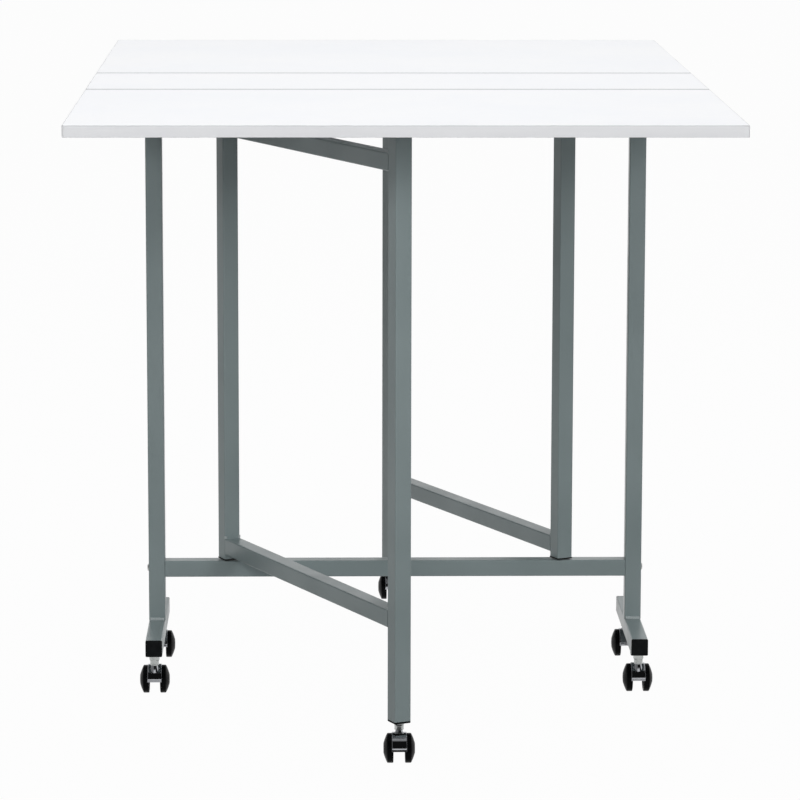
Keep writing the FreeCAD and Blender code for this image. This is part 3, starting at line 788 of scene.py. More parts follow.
class FastenerTree(NodeTree):
    """A head and a shank at each point, turned to its facing and spun by chance.

    The points carry the way that the head looks and how far the shank reaches.
    """

    def __init__(self) -> None:
        """Build the tree."""
        super().__init__("fastener_set", Head="Object", Shank="Object", Seed="Int")
        spin = self.node("ShaderNodeCombineXYZ", Z=self.chance(0.0, math.tau))
        rotation = self.node("FunctionNodeEulerToRotation", Euler=spin.outputs["Vector"])
        aligned = self.node(
            "FunctionNodeAlignRotationToVector",
            Rotation=rotation.outputs["Rotation"],
            Vector=self.attribute("facing", "FLOAT_VECTOR"),
        )
        aligned.axis = "Z"
        reach = self.node("ShaderNodeCombineXYZ", 1.0, 1.0, self.attribute("reach", "FLOAT"))
        points = self.given["Geometry"]
        turn = aligned.outputs["Rotation"]
        join = self.node("GeometryNodeJoinGeometry")
        shanks = self.copies(
            self.given["Shank"], points, Rotation=turn, Scale=reach.outputs["Vector"]
        )
        self.fill(join, "Geometry", shanks)
        self.fill(join, "Geometry", self.copies(self.given["Head"], points, Rotation=turn))
        self.close(join.outputs["Geometry"])


class RibTree(NodeTree):
    """A ring of ribs about the X axis."""

    def __init__(self) -> None:
        """Build the tree."""
        super().__init__("rib_ring", Rib="Object", Count="Int")
        count = self.given["Count"]
        centred = self.node("GeometryNodePoints", Count=count)
        index = self.node("GeometryNodeInputIndex").outputs["Index"]
        angle = self.math("MULTIPLY", self.math("DIVIDE", index, count), math.tau)
        turn = self.node("ShaderNodeCombineXYZ", X=angle).outputs["Vector"]
        self.close(self.copies(self.given["Rib"], centred.outputs[0], Rotation=turn))


def point_mesh(
    points: Sequence[Vector],
    attributes: dict[str, tuple[str, Sequence]],
    edges: Sequence[tuple[int, int]] = (),
) -> Mesh:
    """Make a mesh of points with attributes.

    Args:
        points: Where the points are.
        attributes: For each attribute, its type and its value at each point.
        edges: Pairs of points that are joined.

    Returns:
        The mesh.
    """
    mesh = bpy.data.meshes.new("points")
    mesh.from_pydata(points, edges, [])
    for name, (kind, values) in attributes.items():
        layer = mesh.attributes.new(name, kind, "POINT")
        field = "vector" if kind == "FLOAT_VECTOR" else "value"
        for entry, value in zip(layer.data, values):
            setattr(entry, field, value)
    return mesh


# ---- Top ----


@dataclass
class Board:
    """One laminated board of the top, with its banded edges.

    Attributes:
        node: The CAD node that gives its size and place.
        body: The body that carries it.
        rounded: The ends whose corners are rounded, which are the ones without a hinge.
        corner: The radius of a rounded corner.
        arris: The radius of the upper edges.
        lower_arris: The chamfer of the lower edges and the radius of a plain corner.
        seam_width: The width of the seam between band and face.
        seam_depth: How deep the seam is.
        hinge_slope: How much further its edges slope along Y than along X beside a hinge.
        steps: How many stretches a corner or an upper edge has.
        sharp_angle: The angle in degrees above which an edge stays sharp.
        least_radius: The radius that a corner keeps where it is moved in further than its own.
    """

    node: str
    body: str
    rounded: tuple[Side, ...] = ()
    corner: float = 3.0 * MM
    arris: float = 0.8 * MM
    lower_arris: float = 0.4 * MM
    seam_width: float = 0.3 * MM
    seam_depth: float = 0.20 * MM
    hinge_slope: float = 1.0
    steps: int = 6
    sharp_angle: float = 10.0
    least_radius: float = 0.02 * MM

    def outline(self, inset: float) -> list[Pair]:
        """Give the board's outline, moved inwards.

        Args:
            inset: How far it is moved.

        Returns:
            The outline's points, as many for any inset.
        """
        low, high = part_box(self.node)
        corners = (
            (high.x, high.y, Side.REAR, 0.0),
            (low.x, high.y, Side.REAR, 90.0),
            (low.x, low.y, Side.FRONT, 180.0),
            (high.x, low.y, Side.FRONT, 270.0),
        )
        points: list[Pair] = []
        for x, y, side, start in corners:
            full = self.corner if side in self.rounded else self.lower_arris
            radius = max(full - inset, self.least_radius)
            reach = inset + radius
            slide = 0.0 if side in self.rounded else self.hinge_slope * inset
            centre = (x - math.copysign(reach, x), y - side.value * (reach + slide))
            points += arc(centre, radius, start, start + 90.0, self.steps)
        return points

    def hinge_edges(self) -> list[float]:
        """Give the Y of each edge that a hinge line runs along."""
        low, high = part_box(self.node)
        edges = {Side.FRONT: low.y, Side.REAR: high.y}
        return [edges[side] for side in Side if side not in self.rounded]

    def build(self, shop: Workshop) -> None:
        """Model the board and stand it in for its node.

        Args:
            shop: Where it is finished.
        """
        low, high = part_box(self.node)
        seam_end = self.arris + self.seam_width
        section = [(self.lower_arris, low.z), (0.0, low.z + self.lower_arris)]
        section += arc((self.arris, high.z - self.arris), self.arris, 180.0, 90.0, self.steps)
        section.append((self.arris + self.seam_width / 2, high.z - self.seam_depth))
        section.append((seam_end, high.z))
        shape = bmesh.new()
        rings = []
        for inset, z in section:
            rings.append([shape.verts.new((x, y, z)) for x, y in self.outline(inset)])
        bridge_rings(shape, rings[:3], BoardFace.EDGE_BAND)
        bridge_rings(shape, rings[2:], BoardFace.SEAM)
        # The faces beside a hinge line take the dark grey that paints the gap's shade.
        for edge in self.hinge_edges():
            for face in shape.faces:
                if abs(face.calc_center_median().y - edge) < seam_end * (1.0 + self.hinge_slope):
                    face.material_index = BoardFace.HINGE_BAND
        shape.faces.new(rings[-1])
        shape.faces.new(list(reversed(rings[0])))
        name = self.node + "_board"
        mesh = mesh_from(shape, name, self.sharp_angle)
        shop.finish(mesh, name, self.body, Slot.WHITE_LAMINATE, [self.node], shop.board_edges)


@dataclass
class Fasteners:
    """The wood screws under the boards and the bolts through the side legs.

    Heads and shanks are given by their radius, and heads also by their height.

    Attributes:
        shop: Where the pieces are finished.
        screw_tip: The radius of a screw's tip, as a share of its shank's.
        screw_point: The length of a screw's point, as a share of its shank's.
        bolt_tip: As screw_tip, for a bolt.
        bolt_point: As screw_point, for a bolt.
        cross_width: The width of each slot of a screw's cross.
        cross_reach: How far the slots reach from the middle.
        cross_taper: How far they reach at their bottom, as a share.
        socket: The radius of a bolt's hexagon.
        nut_edge: The bevel of a nut's edges.
        seed: What the heads' turns are drawn from.
    """

    shop: Workshop
    screw_head: float = 3.5 * MM
    screw_height: float = 1.8 * MM
    screw_shank: float = 1.75 * MM
    screw_tip: float = 0.15
    screw_point: float = 0.22
    bolt_head: float = 5.25 * MM
    bolt_height: float = 2.4 * MM
    bolt_shank: float = 3.0 * MM
    bolt_tip: float = 0.85
    bolt_point: float = 0.03
    cross_width: float = 0.9 * MM
    cross_reach: float = 1.9 * MM
    cross_taper: float = 0.5
    socket: float = 2.1 * MM
    nut_edge: float = 0.6 * MM
    seed: int = 7

    def __post_init__(self) -> None:
        """Build the tree that all fasteners share."""
        self.tree = FastenerTree()

    def screw_heads(self) -> Object:
        """Turn a pan head that looks along +Z, with a cross recess."""
        rim = self.screw_head
        top = self.screw_height
        bend = 0.45 * top
        profile = [(0.0, 0.0), (rim, 0.0), (rim, 0.3 * top)]
        profile += arc((rim - bend, bend), bend, 0.0, 70.0, 4)
        profile += [(0.5 * rim, top), (0.0, top)]
        head = mesh_from(lathe(profile, 20), "screw_head")
        for turn in (0.0, math.pi / 2):
            blade = bmesh.new()
            for vertex in add_block(blade, (2 * self.cross_reach, self.cross_width, top)):
                if vertex.co.z < 0:
                    vertex.co.x *= self.cross_taper
            lift = Matrix.Translation((0.0, 0.0, top))
            blade.transform(lift @ Matrix.Rotation(turn, 4, "Z"))
            head = cut_or_join(head, mesh_from(blade, "blade"), "DIFFERENCE")
        return hidden(head, "screw_head")

    def bolt_heads(self) -> Object:
        """Turn a button head that looks along +Z, with a hexagon socket."""
        rim = self.bolt_head
        top = self.bolt_height
        bend = 0.75 * top
        profile = [(0.0, 0.0), (rim, 0.0), (rim, 0.25 * top)]
        profile += arc((rim - bend, 0.25 * top), bend, 0.0, 78.0, 6)
        profile += [(0.0, top)]
        head = mesh_from(lathe(profile, 32), "bolt_head")
        key = mesh_from(lathe(rod(self.socket, 0.4 * top, 2 * top), 6), "key")
        return hidden(cut_or_join(head, key, "DIFFERENCE"), "bolt_head")

    @staticmethod
    def shanks(thick: float, tip: float, point: float, segments: int) -> Object:
        """Turn a shank one metre long down -Z, to be scaled to its reach.

        Args:
            thick: Its radius.
            tip: Its tip's radius, as a share of it.
            point: Its point's length, as a share of the shank's.
            segments: How many faces go round.

        Returns:
            The shank.
        """
        profile = [(0.0, -1.0), (tip * thick, -1.0), (thick, point - 1.0), (thick, 0.0), (0.0, 0.0)]
        return hidden(mesh_from(lathe(profile, segments), "shank"), "shank")

    def sow(
        self,
        head: Object,
        shank: Object,
        seats: Sequence[tuple[Vector, Vector, float]],
    ) -> Mesh:
        """Set a head and a shank on every seat.

        Args:
            head: The head.
            shank: The shank.
            seats: For each, its place, the way that its head looks and its shank's reach.

        Returns:
            The mesh.
        """
        places, facing, reach = zip(*seats)
        rows = {"facing": ("FLOAT_VECTOR", facing), "reach": ("FLOAT", reach)}
        finish = self.shop.finishes[Slot.ZINC_STEEL]
        values = {"Head": head, "Shank": shank, "Seed": self.seed, "Material": finish}
        return self.tree.grow(point_mesh(places, rows), values)

    def build(self) -> None:
        """Model every screw and bolt from the boxes of the CAD ones."""
        head = self.screw_heads()
        shank = self.shanks(self.screw_shank, self.screw_tip, self.screw_point, 12)
        down = Vector((0.0, 0.0, -1.0))
        for body in ("frame", "front_leaf", "rear_leaf"):
            node = ("centre_panel" if body == "frame" else body) + "_screws"
            seats = []
            for low, high in islands(node):
                middle = (low + high) / 2
                seat = Vector((middle.x, middle.y, low.z + self.screw_height))
                seats.append((seat, down, high.z - low.z - self.screw_height))
            mesh = self.sow(head, shank, seats)
            self.shop.finish(mesh, node + "_set", body, Slot.ZINC_STEEL, [node])
        self.build_bolts()

    def build_bolts(self) -> None:
        """Model the crossbar bolts with the square nuts that they run into."""
        node = "crossbar_bolts_and_nuts"
        seats = []
        nuts = []
        for low, high in islands(node):
            middle = (low + high) / 2
            if high.y - low.y >= 3 * self.bolt_head:
                nuts.append((high - low, middle))
                continue
            way = math.copysign(1.0, middle.x)
            outer = high.x if way > 0 else low.x
            seat = Vector((outer - way * self.bolt_height, middle.y, middle.z))
            seats.append((seat, Vector((way, 0.0, 0.0)), high.x - low.x - self.bolt_height))
        shank = self.shanks(self.bolt_shank, self.bolt_tip, self.bolt_point, 24)
        shape = gathered(self.sow(self.bolt_heads(), shank, seats))
        for size, middle in nuts:
            block = add_block(shape, size, middle)
            edges = list({edge for vertex in block for edge in vertex.link_edges})
            bmesh.ops.bevel(shape, geom=edges, offset=self.nut_edge, segments=2, affect="EDGES")
        mesh = mesh_from(shape, "crossbar_fasteners")
        self.shop.finish(mesh, "crossbar_fasteners", "frame", Slot.ZINC_STEEL, [node])


# ---- Welds ----


@dataclass
class Welds:
    """The beads that join the tubes.

    Attributes:
        shop: Where the pieces are finished.
        foot_fillet: The beads' radius at the side legs' feet.
        foot_lift: How far above the foot tube their middle runs.
        fillet: The beads' radius at the gates' arms.
        tack: The radius of the short tacks on top of the arms.
        tack_height: The tacks' length.
        plate_fillet: The beads' radius under the side legs' top plates.
        plate_thickness: The top plates' thickness.
        end_gap: How far a bead ends from the tube's corner.
        pitch: The length of one ripple.
        depth: Its height, as a share of the radius.
        sharp_angle: The angle in degrees above which an edge stays sharp.
        seed: What the beads' unevenness is drawn from.
    """

    shop: Workshop
    foot_fillet: float = 2.6 * MM
    foot_lift: float = 1.4 * MM
    fillet: float = 1.3 * MM
    tack: float = 1.8 * MM
    tack_height: float = 4.0 * MM
    plate_fillet: float = 1.4 * MM
    plate_thickness: float = 3.0 * MM
    end_gap: float = 1.6 * MM
    pitch: float = 2.6 * MM
    depth: float = 0.30
    sharp_angle: float = 60.0
    seed: int = 11

    def __post_init__(self) -> None:
        """Build the tree that all beads share and measure the tube."""
        self.tree = WeldTree()
        low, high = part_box("left_foot_tube")
        self.half_tube = (high.x - low.x) / 2
        self.reach = self.half_tube - self.end_gap

    def grow(
        self,
        paths: Sequence[tuple[list[Vector], float]],
        name: str,
        body: str,
        paint: Material,
    ) -> None:
        """Lay beads along paths.

        Args:
            paths: Each path's two ends, with its bead's radius.
            name: The piece's name.
            body: The body that carries it.
            paint: The beads' paint.
        """
        points = [point for path, _ in paths for point in path]
        radii = [radius for path, radius in paths for _ in path]
        edges = [(first, first + 1) for first in range(0, len(points), 2)]
        values = {
            "Ripple Pitch": self.pitch,
            "Ripple Depth": self.depth,
            "Seed": self.seed,
            "Material": paint,
        }
        seed_mesh = point_mesh(points, {"bead_radius": ("FLOAT", radii)}, edges)
        shape = gathered(self.tree.grow(seed_mesh, values))
        mesh = mesh_from(shape, name, self.sharp_angle)
        self.shop.finish(mesh, name, body, Slot.GREY_PAINT, main=paint)

    def across(self, middle: Vector, way: Vector) -> list[Vector]:
        """Give the two ends of a bead by its middle and the way that it runs."""
        return [middle + way * end * self.reach for end in (-1.0, 1.0)]

    def side_frames(self) -> None:
        """Weld each side leg to its foot and its top plate."""
        sideways = Vector((1.0, 0.0, 0.0))
        lengthways = Vector((0.0, 1.0, 0.0))
        half = self.half_tube
        paths = []
        for side in ("left", "right"):
            low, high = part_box(side + "_foot_tube")
            x = (low.x + high.x) / 2
            y = (low.y + high.y) / 2
            level = high.z + self.foot_lift
            for way in (-1.0, 1.0):
                bead = self.across(Vector((x, y + way * half, level)), sideways)
                paths.append((bead, self.foot_fillet))
            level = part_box(side + "_side_leg")[1].z - self.plate_thickness
            for way in (-1.0, 1.0):
                front = self.across(Vector((x, y + way * half, level)), sideways)
                flank = self.across(Vector((x + way * half, y, level)), lengthways)
                paths += [(front, self.plate_fillet), (flank, self.plate_fillet)]
        # These beads take the lighter coat that paints their highlight.
        self.grow(paths, "side_frame_welds", "frame", self.shop.weld_highlight_paint)

    def gate(self, name: str) -> None:
        """Weld a gate's arms to its post and its leg.

        Args:
            name: The gate's name.
        """
        post = self.middle(f"{name}_gate_post")
        leg = self.middle(f"{name}_gate_leg")
        outwards = (leg - post).normalized()
        sideways = Vector((-outwards.y, outwards.x, 0.0))
        paths = []
        tacks = []
        for level in ("upper", "lower"):
            low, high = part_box(f"{name}_gate_{level}_arm")
            for centre, way in ((post, 1.0), (leg, -1.0)):
                face = centre + outwards * way * self.half_tube
                for height in (low.z, high.z):
                    bead = self.across(face, sideways)
                    paths.append(([end + Vector((0.0, 0.0, height)) for end in bead], self.fillet))
                for end in self.across(face, sideways):
                    foot = end + Vector((0.0, 0.0, high.z))
                    tacks.append(([foot, foot + Vector((0.0, 0.0, self.tack_height))], self.tack))
        body = f"{name}_gate"
        self.grow(paths, body + "_welds", body, self.shop.finishes[Slot.GREY_PAINT])
        # The tacks take the lighter coat that paints their glint.
        self.grow(tacks, body + "_tacks", body, self.shop.weld_highlight_paint)

    @staticmethod
    def middle(node: str) -> Vector:
        """Give the middle of an upright node, on the floor."""
        low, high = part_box(node)
        return Vector(((low.x + high.x) / 2, (low.y + high.y) / 2, 0.0))


# ---- Casters ----


@dataclass
class CasterPlace:
    """Where one caster stands.

    Attributes:
        name: The caster's name, which its body and nodes start with.
        place: From the caster's own frame, with the floor under its stem at the origin and its
            axle towards +Y, to the row frame.
        trail: How far the axle lies behind the stem.
        wheel_radius: The axle's height.
    """

    name: str
    place: Matrix
    trail: float
    wheel_radius: float

    @classmethod
    def all(cls) -> list["CasterPlace"]:
        """Read every caster's place from the frame's joints."""
        joints = {joint["name"]: joint for joint in frame["joints"]}
        found = []
        for key, joint in joints.items():
            if not key.endswith("_caster_swivel"):
                continue
            name = key.removesuffix("_swivel")
            x, y, _ = joint["pos_m"]
            axle = Vector(joints[name + "_left_wheel_spin"]["pos_m"])
            back = Vector((axle.x - x, axle.y - y, 0.0))
            turn = math.atan2(-back.x, back.y)
            place = Matrix.Translation((x, y, 0.0)) @ Matrix.Rotation(turn, 4, "Z")
            found.append(cls(name, place, back.length, axle.z))
        return found


# The wheel's inner side, as pairs of radius and depth from its inner face, in millimetres: its
# bore, its hub, the pocket with the ribs and the rim.
WHEEL_INSIDE: tuple[Pair, ...] = (
    (0.0, 9.3), (3.1, 9.3), (3.1, 0.4), (3.5, 0.0), (6.2, 0.0),
    (6.5, 0.3), (7.0, 3.6), (16.6, 3.6), (17.0, 0.4), (17.4, 0.0),
)
# Its outer cap with the groove round it, as pairs of radius and depth from its outer face.
WHEEL_CAP: tuple[Pair, ...] = (
    (8.8, 0.5), (8.3, 0.35), (8.15, 0.75), (7.85, 0.75), (7.7, 0.2),
    (7.2, 0.0), (2.4, 0.1), (2.0, 0.4), (0.0, 0.4),
)
# The turned groove of a stem's neck, as pairs of what is added to the neck's radius and the height
# above its lower end.
NECK_GROOVE: tuple[Pair, ...] = (
    (-0.5, 0.0), (0.0, 0.5), (0.0, 1.4), (-0.4, 1.7), (-0.4, 2.2), (0.0, 2.5),
)


@dataclass
class CasterShapes:
    """The shapes that all six casters share, in a caster's own frame.

    Round parts are given by their radius, and the two sharp angles are in degrees.

    Attributes:
        trail: How far the axle lies behind the stem.
        wheel_radius: The wheels' radius and the axle's height.
        hood_dip: How many degrees the hood's ends reach below the axle.
        hood_crown: How far the hood's edges lie under its crown.
        web: Half the thickness of the web between the wheels.
        web_foot: How far outside the axle the web ends.
        boss_reach: Half the axle boss's length.
        socket_mouth: The socket's radius at its top, to which it narrows over the socket_cone.
        bulge: How far the wheel's flank bulges.
        rib_size: A rib's size along the axle, across it and along the radius.
        rib_depth: How far inside the wheel's inner face its middle lies.
        rib_radius: How far from the axle its middle lies.
        rib_taper: Its width at the inner face, as a share.
    """

    trail: float
    wheel_radius: float
    hood_dip: float = 1.0
    hood_steps: int = 56
    hood_wall: float = 1.0 * MM
    hood_crown: float = 0.12 * MM
    hood_roll: float = 0.42 * MM
    hood_shoulder: float = 0.7 * MM
    hood_sharp: float = 28.0
    web: float = 2.5 * MM
    web_fillet: float = 1.6 * MM
    web_foot: float = 1.0 * MM
    boss: float = 5.5 * MM
    boss_reach: float = 7.9 * MM
    boss_edge: float = 0.5 * MM
    axle: float = 3.0 * MM
    stem: float = 4.0 * MM
    stem_edge: float = 0.5 * MM
    stem_tip: float = 0.6 * MM
    stem_gap: float = 0.1 * MM
    socket: float = 7.5 * MM
    socket_mouth: float = 4.8 * MM
    socket_cone: float = 10.0 * MM
    socket_floor: float = 2.0 * MM
    neck: float = 6.6 * MM
    neck_length: float = 7.2 * MM
    collar: float = 7.7 * MM
    collar_edge: float = 0.4 * MM
    collar_gap: float = 0.3 * MM
    tread: float = 9.0 * MM
    tread_edge: float = 1.2 * MM
    tread_bend: float = 1.6 * MM
    bulge: float = 0.35 * MM
    wheel_sharp: float = 30.0
    rib_count: int = 9
    rib_size: Place = (3.8 * MM, 1.1 * MM, 11.0 * MM)
    rib_depth: float = 2.4 * MM
    rib_radius: float = 11.8 * MM
    rib_taper: float = 0.7

    def __post_init__(self) -> None:
        """Measure the CAD caster that stands at the front gate."""
        low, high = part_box("front_gate_caster_hood")
        self.hood_half = (high.x - low.x) / 2
        self.socket_top = high.z
        self.hood_radius = (high.y - low.y) / 2
        wheels = [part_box(f"front_gate_caster_{hand}_wheel") for hand in ("left", "right")]
        self.wheel_outer = (max(box[1].x for box in wheels) - min(box[0].x for box in wheels)) / 2
        self.wheel_inner = self.wheel_outer - (wheels[0][1].x - wheels[0][0].x)
        self.about_axle = Matrix.Translation((0.0, self.trail, self.wheel_radius))
        self.along_x = Matrix.Rotation(math.pi / 2, 4, "Y")

    def hood_section(self) -> list[Pair]:
        """Give the hood's section across the axle, as pairs of X and distance from the axle."""
        outer = self.hood_radius
        inner = outer - self.hood_wall
        edge = self.hood_half - self.hood_roll
        bend = self.web_fillet
        half = [(edge - self.hood_shoulder, outer - 0.5 * self.hood_crown)]
        roll = (edge, outer - self.hood_crown - self.hood_roll)
        half += arc(roll, self.hood_roll, 75.0, -60.0, 5)
        half.append((edge, inner))
        half += arc((self.web + bend, inner - bend), bend, 90.0, 180.0, 4)
        half.append((self.web, self.axle + self.web_foot))
        return [(0.0, outer)] + half + [(-x, r) for x, r in reversed(half)]

    def hood(self) -> Mesh:
        """Cast the hood: a crowned fender on a web, with an axle boss and a stem socket."""
        section = self.hood_section()
        shape = bmesh.new()
        rings = []
        for index in range(self.hood_steps + 1):
            share = index / self.hood_steps
            angle = math.radians((180.0 + 2 * self.hood_dip) * share - self.hood_dip)
            rings.append([
                shape.verts.new((x, r * math.cos(angle), r * math.sin(angle))) for x, r in section
            ])
        bridge_rings(shape, rings)
        shape.faces.new(rings[0])
        shape.faces.new(list(reversed(rings[-1])))
        shape.transform(self.about_axle)
        hood = mesh_from(shape, "hood")

        reach = self.boss_reach
        edge = self.boss_edge
        boss = [
            (0.0, -reach),
            (self.boss - edge, -reach),
            (self.boss, edge - reach),
            (self.boss, reach - edge),
            (self.boss - edge, reach),
            (0.0, reach),
        ]
        socket = [
            (0.0, self.wheel_radius),
            (self.socket - 2 * edge, self.wheel_radius),
            (self.socket, self.wheel_radius + 2 * edge),
            (self.socket, self.socket_top - self.socket_cone),
            (self.socket_mouth, self.socket_top),
            (0.0, self.socket_top),
        ]
        bore = rod(
            self.stem + self.stem_gap,
            self.wheel_radius + self.socket_floor,
            self.socket_top + self.socket,
        )
        axle = rod(self.axle, -self.hood_half, self.hood_half)
        across = self.about_axle @ self.along_x
        upright = Matrix.Identity(4)
        for profile, place, operation in (
            (boss, across, "UNION"),
            (socket, upright, "UNION"),
            (bore, upright, "DIFFERENCE"),
            (axle, across, "DIFFERENCE"),
        ):
            hood = cut_or_join(hood, self.turned(profile, place), operation)
        return mesh_from(gathered(hood), "hood", self.hood_sharp)

    @staticmethod
    def turned(profile: Sequence[Pair], place: Matrix, segments: int = 48) -> Mesh:
        """Turn a profile and put it in place."""
        shape = lathe(profile, segments)
        shape.transform(place)
        return mesh_from(shape, "turned")

    def wheel_profile(self) -> list[Pair]:
        """Give the wheel's section, as pairs of radius and distance from the caster's middle."""
        inner = self.wheel_inner
        edge = self.tread_edge
        bend = self.tread_bend
        profile = [(r * MM, inner + depth * MM) for r, depth in WHEEL_INSIDE]
        profile += arc((self.wheel_radius - edge, inner + edge), edge, -90.0, 0.0, 5)
        middle = (self.wheel_radius - bend, inner + self.tread - bend)
        profile += arc(middle, bend, 0.0, 60.0, 5)
        cap = [(r * MM, self.wheel_outer - depth * MM) for r, depth in WHEEL_CAP]
        # The flank bulges a little between the tread and the cap.
        (r_1, x_1), (r_2, x_2) = profile[-1], cap[0]
        for share in (0.25, 0.5, 0.75):
            x = x_1 + (x_2 - x_1) * share + self.bulge * math.sin(math.pi * share)
            profile.append((r_1 + (r_2 - r_1) * share, x))
        return profile + cap

    def wheel(self, hand: float, shop: Workshop, ribs: RibTree) -> Mesh:
        """Mould a wheel with the ribs inside its inner pocket.

        Args:
            hand: 1 for the wheel at +X and -1 for its mirror twin.
            shop: Where its finish is.
            ribs: The tree that sets the ribs.

        Returns:
            The wheel in the caster's own frame.
        """
        rib = bmesh.new()
        middle = (self.wheel_inner + self.rib_depth, 0.0, self.rib_radius)
        for vertex in add_block(rib, self.rib_size, middle):
            if vertex.co.x < middle[0]:
                vertex.co.y *= self.rib_taper
        values = {
            "Rib": hidden(mesh_from(rib, "rib"), "rib"),
            "Count": self.rib_count,
            "Material": shop.finishes[Slot.BLACK_WHEEL],
        }
        ring = ribs.grow(bpy.data.meshes.new("rib_seed"), values)
        shape = gathered(self.turned(self.wheel_profile(), self.along_x, 72), ring)
        shape.transform(self.about_axle @ Matrix.Diagonal((hand, 1.0, 1.0, 1.0)))
        return mesh_from(shape, "wheel", self.wheel_sharp)

    def stem_profile(self, seat: float, top: float) -> list[Pair]:
        """Give a stem's section.

        Args:
            seat: The height of its collar's top.
            top: The height of its shank's top.

        Returns:
            Pairs of radius and height.
        """
        low = self.socket_top + self.collar_gap
        start = self.wheel_radius + self.socket_floor + self.collar_gap
        flare = low + self.neck_length
        flared = flare + self.collar - self.neck
        return [
            (0.0, start),
            (self.stem - self.stem_edge, start),
            (self.stem, start + self.stem_edge),
            (self.stem, low),
            *((self.neck + r * MM, low + height * MM) for r, height in NECK_GROOVE),
            (self.neck, flare - 0.5 * MM),
            (self.neck + 0.2 * MM, flare),
            (self.collar - 0.2 * MM, flared),
            (self.collar, flared + self.collar_edge),
            (self.collar, seat - self.collar_edge),
            (self.collar - 0.3 * MM, seat),
            (self.stem, seat),
            (self.stem, top - self.stem_tip),
            (self.stem - self.stem_tip, top),
            (0.0, top),
        ]


class CasterSet:
    """All six casters."""

    def __init__(self, shop: Workshop) -> None:
        """Make the shared shapes.

        Args:
            shop: Where the pieces are finished.
        """
        self.shop = shop
        self.places = CasterPlace.all()
        first = self.places[0]
        self.shapes = CasterShapes(first.trail, first.wheel_radius)
        ribs = RibTree()
        self.hood = self.shapes.hood()
        self.wheels = {
            "left": self.shapes.wheel(-1.0, shop, ribs),
            "right": self.shapes.wheel(1.0, shop, ribs),
        }

    def build(self) -> None:
        """Stand every caster in its place."""
        finish = self.shop.finish
        for caster in self.places:
            name = caster.name
            hood = placed(self.hood, caster.place)
            finish(hood, name + "_chrome_hood", name, Slot.CHROME_PLATE, [name + "_hood"])
            for hand, wheel in self.wheels.items():
                node = f"{name}_{hand}_wheel"
                mesh = placed(wheel, caster.place)
                finish(mesh, node + "_moulding", node, Slot.BLACK_WHEEL, [node])
        self.build_stems()

    def stem(self, caster: CasterPlace, seat: float, node: str) -> Mesh:
        """Turn a caster's stem.

        Args:
            caster: The caster.
            seat: The height of its collar's top.
            node: The CAD node that it reaches as high as.

        Returns:
            The stem in its place.
        """
        profile = self.shapes.stem_profile(seat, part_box(node)[1].z)
        return self.shapes.turned(profile, caster.place)

    def finish_stem(self, mesh: Mesh, name: str, body: str, node: str) -> None:
        """Plate a stem, or several, and stand them in for their node."""
        main = self.shop.turned_stem
        self.shop.finish(mesh, name, body, Slot.CHROME_PLATE, [node], main=main)

    def build_stems(self) -> None:
        """Turn the stems: four on the feet in one piece, and one on each gate."""
        foot_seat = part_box("left_foot_tube")[0].z
        feet = []
        for caster in self.places:
            gate = caster.name.removesuffix("_caster")
            if gate.endswith("_gate"):
                node = gate + "_caster_stem"
                mesh = self.stem(caster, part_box(gate + "_leg_plugs")[0].z, node)
                self.finish_stem(mesh, node + "_pin", gate, node)
            else:
                feet.append(self.stem(caster, foot_seat, "foot_caster_stems"))
        mesh = mesh_from(gathered(*feet), "foot_stem_pins")
        self.finish_stem(mesh, "foot_stem_pins", "frame", "foot_caster_stems")


# ---- Studio ----


@dataclass
class Softbox:
    """One soft lamp.

    Attributes:
        name: The lamp's name.
        place: Where it hangs.
        target: What it points at.
        width: Its size along its own X.
        height: Its size along its own Y.
        power: Its power in watts.
    """

    name: str
    place: Place
    target: Place
    width: float
    height: float
    power: float

    def hang(self) -> None:
        """Hang the lamp in the scene."""
        data = bpy.data.lights.new(self.name, "AREA")
        data.shape = "RECTANGLE"
        data.size = self.width
        data.size_y = self.height
        data.energy = self.power
        lamp = bpy.data.objects.new(self.name, data)
        bpy.context.scene.collection.objects.link(lamp)
        lamp.location = self.place
        look = Vector(self.target) - Vector(self.place)
        lamp.rotation_euler = look.to_track_quat("-Z", "Y").to_euler()
        lamp.visible_camera = False
        lamp.visible_glossy = False


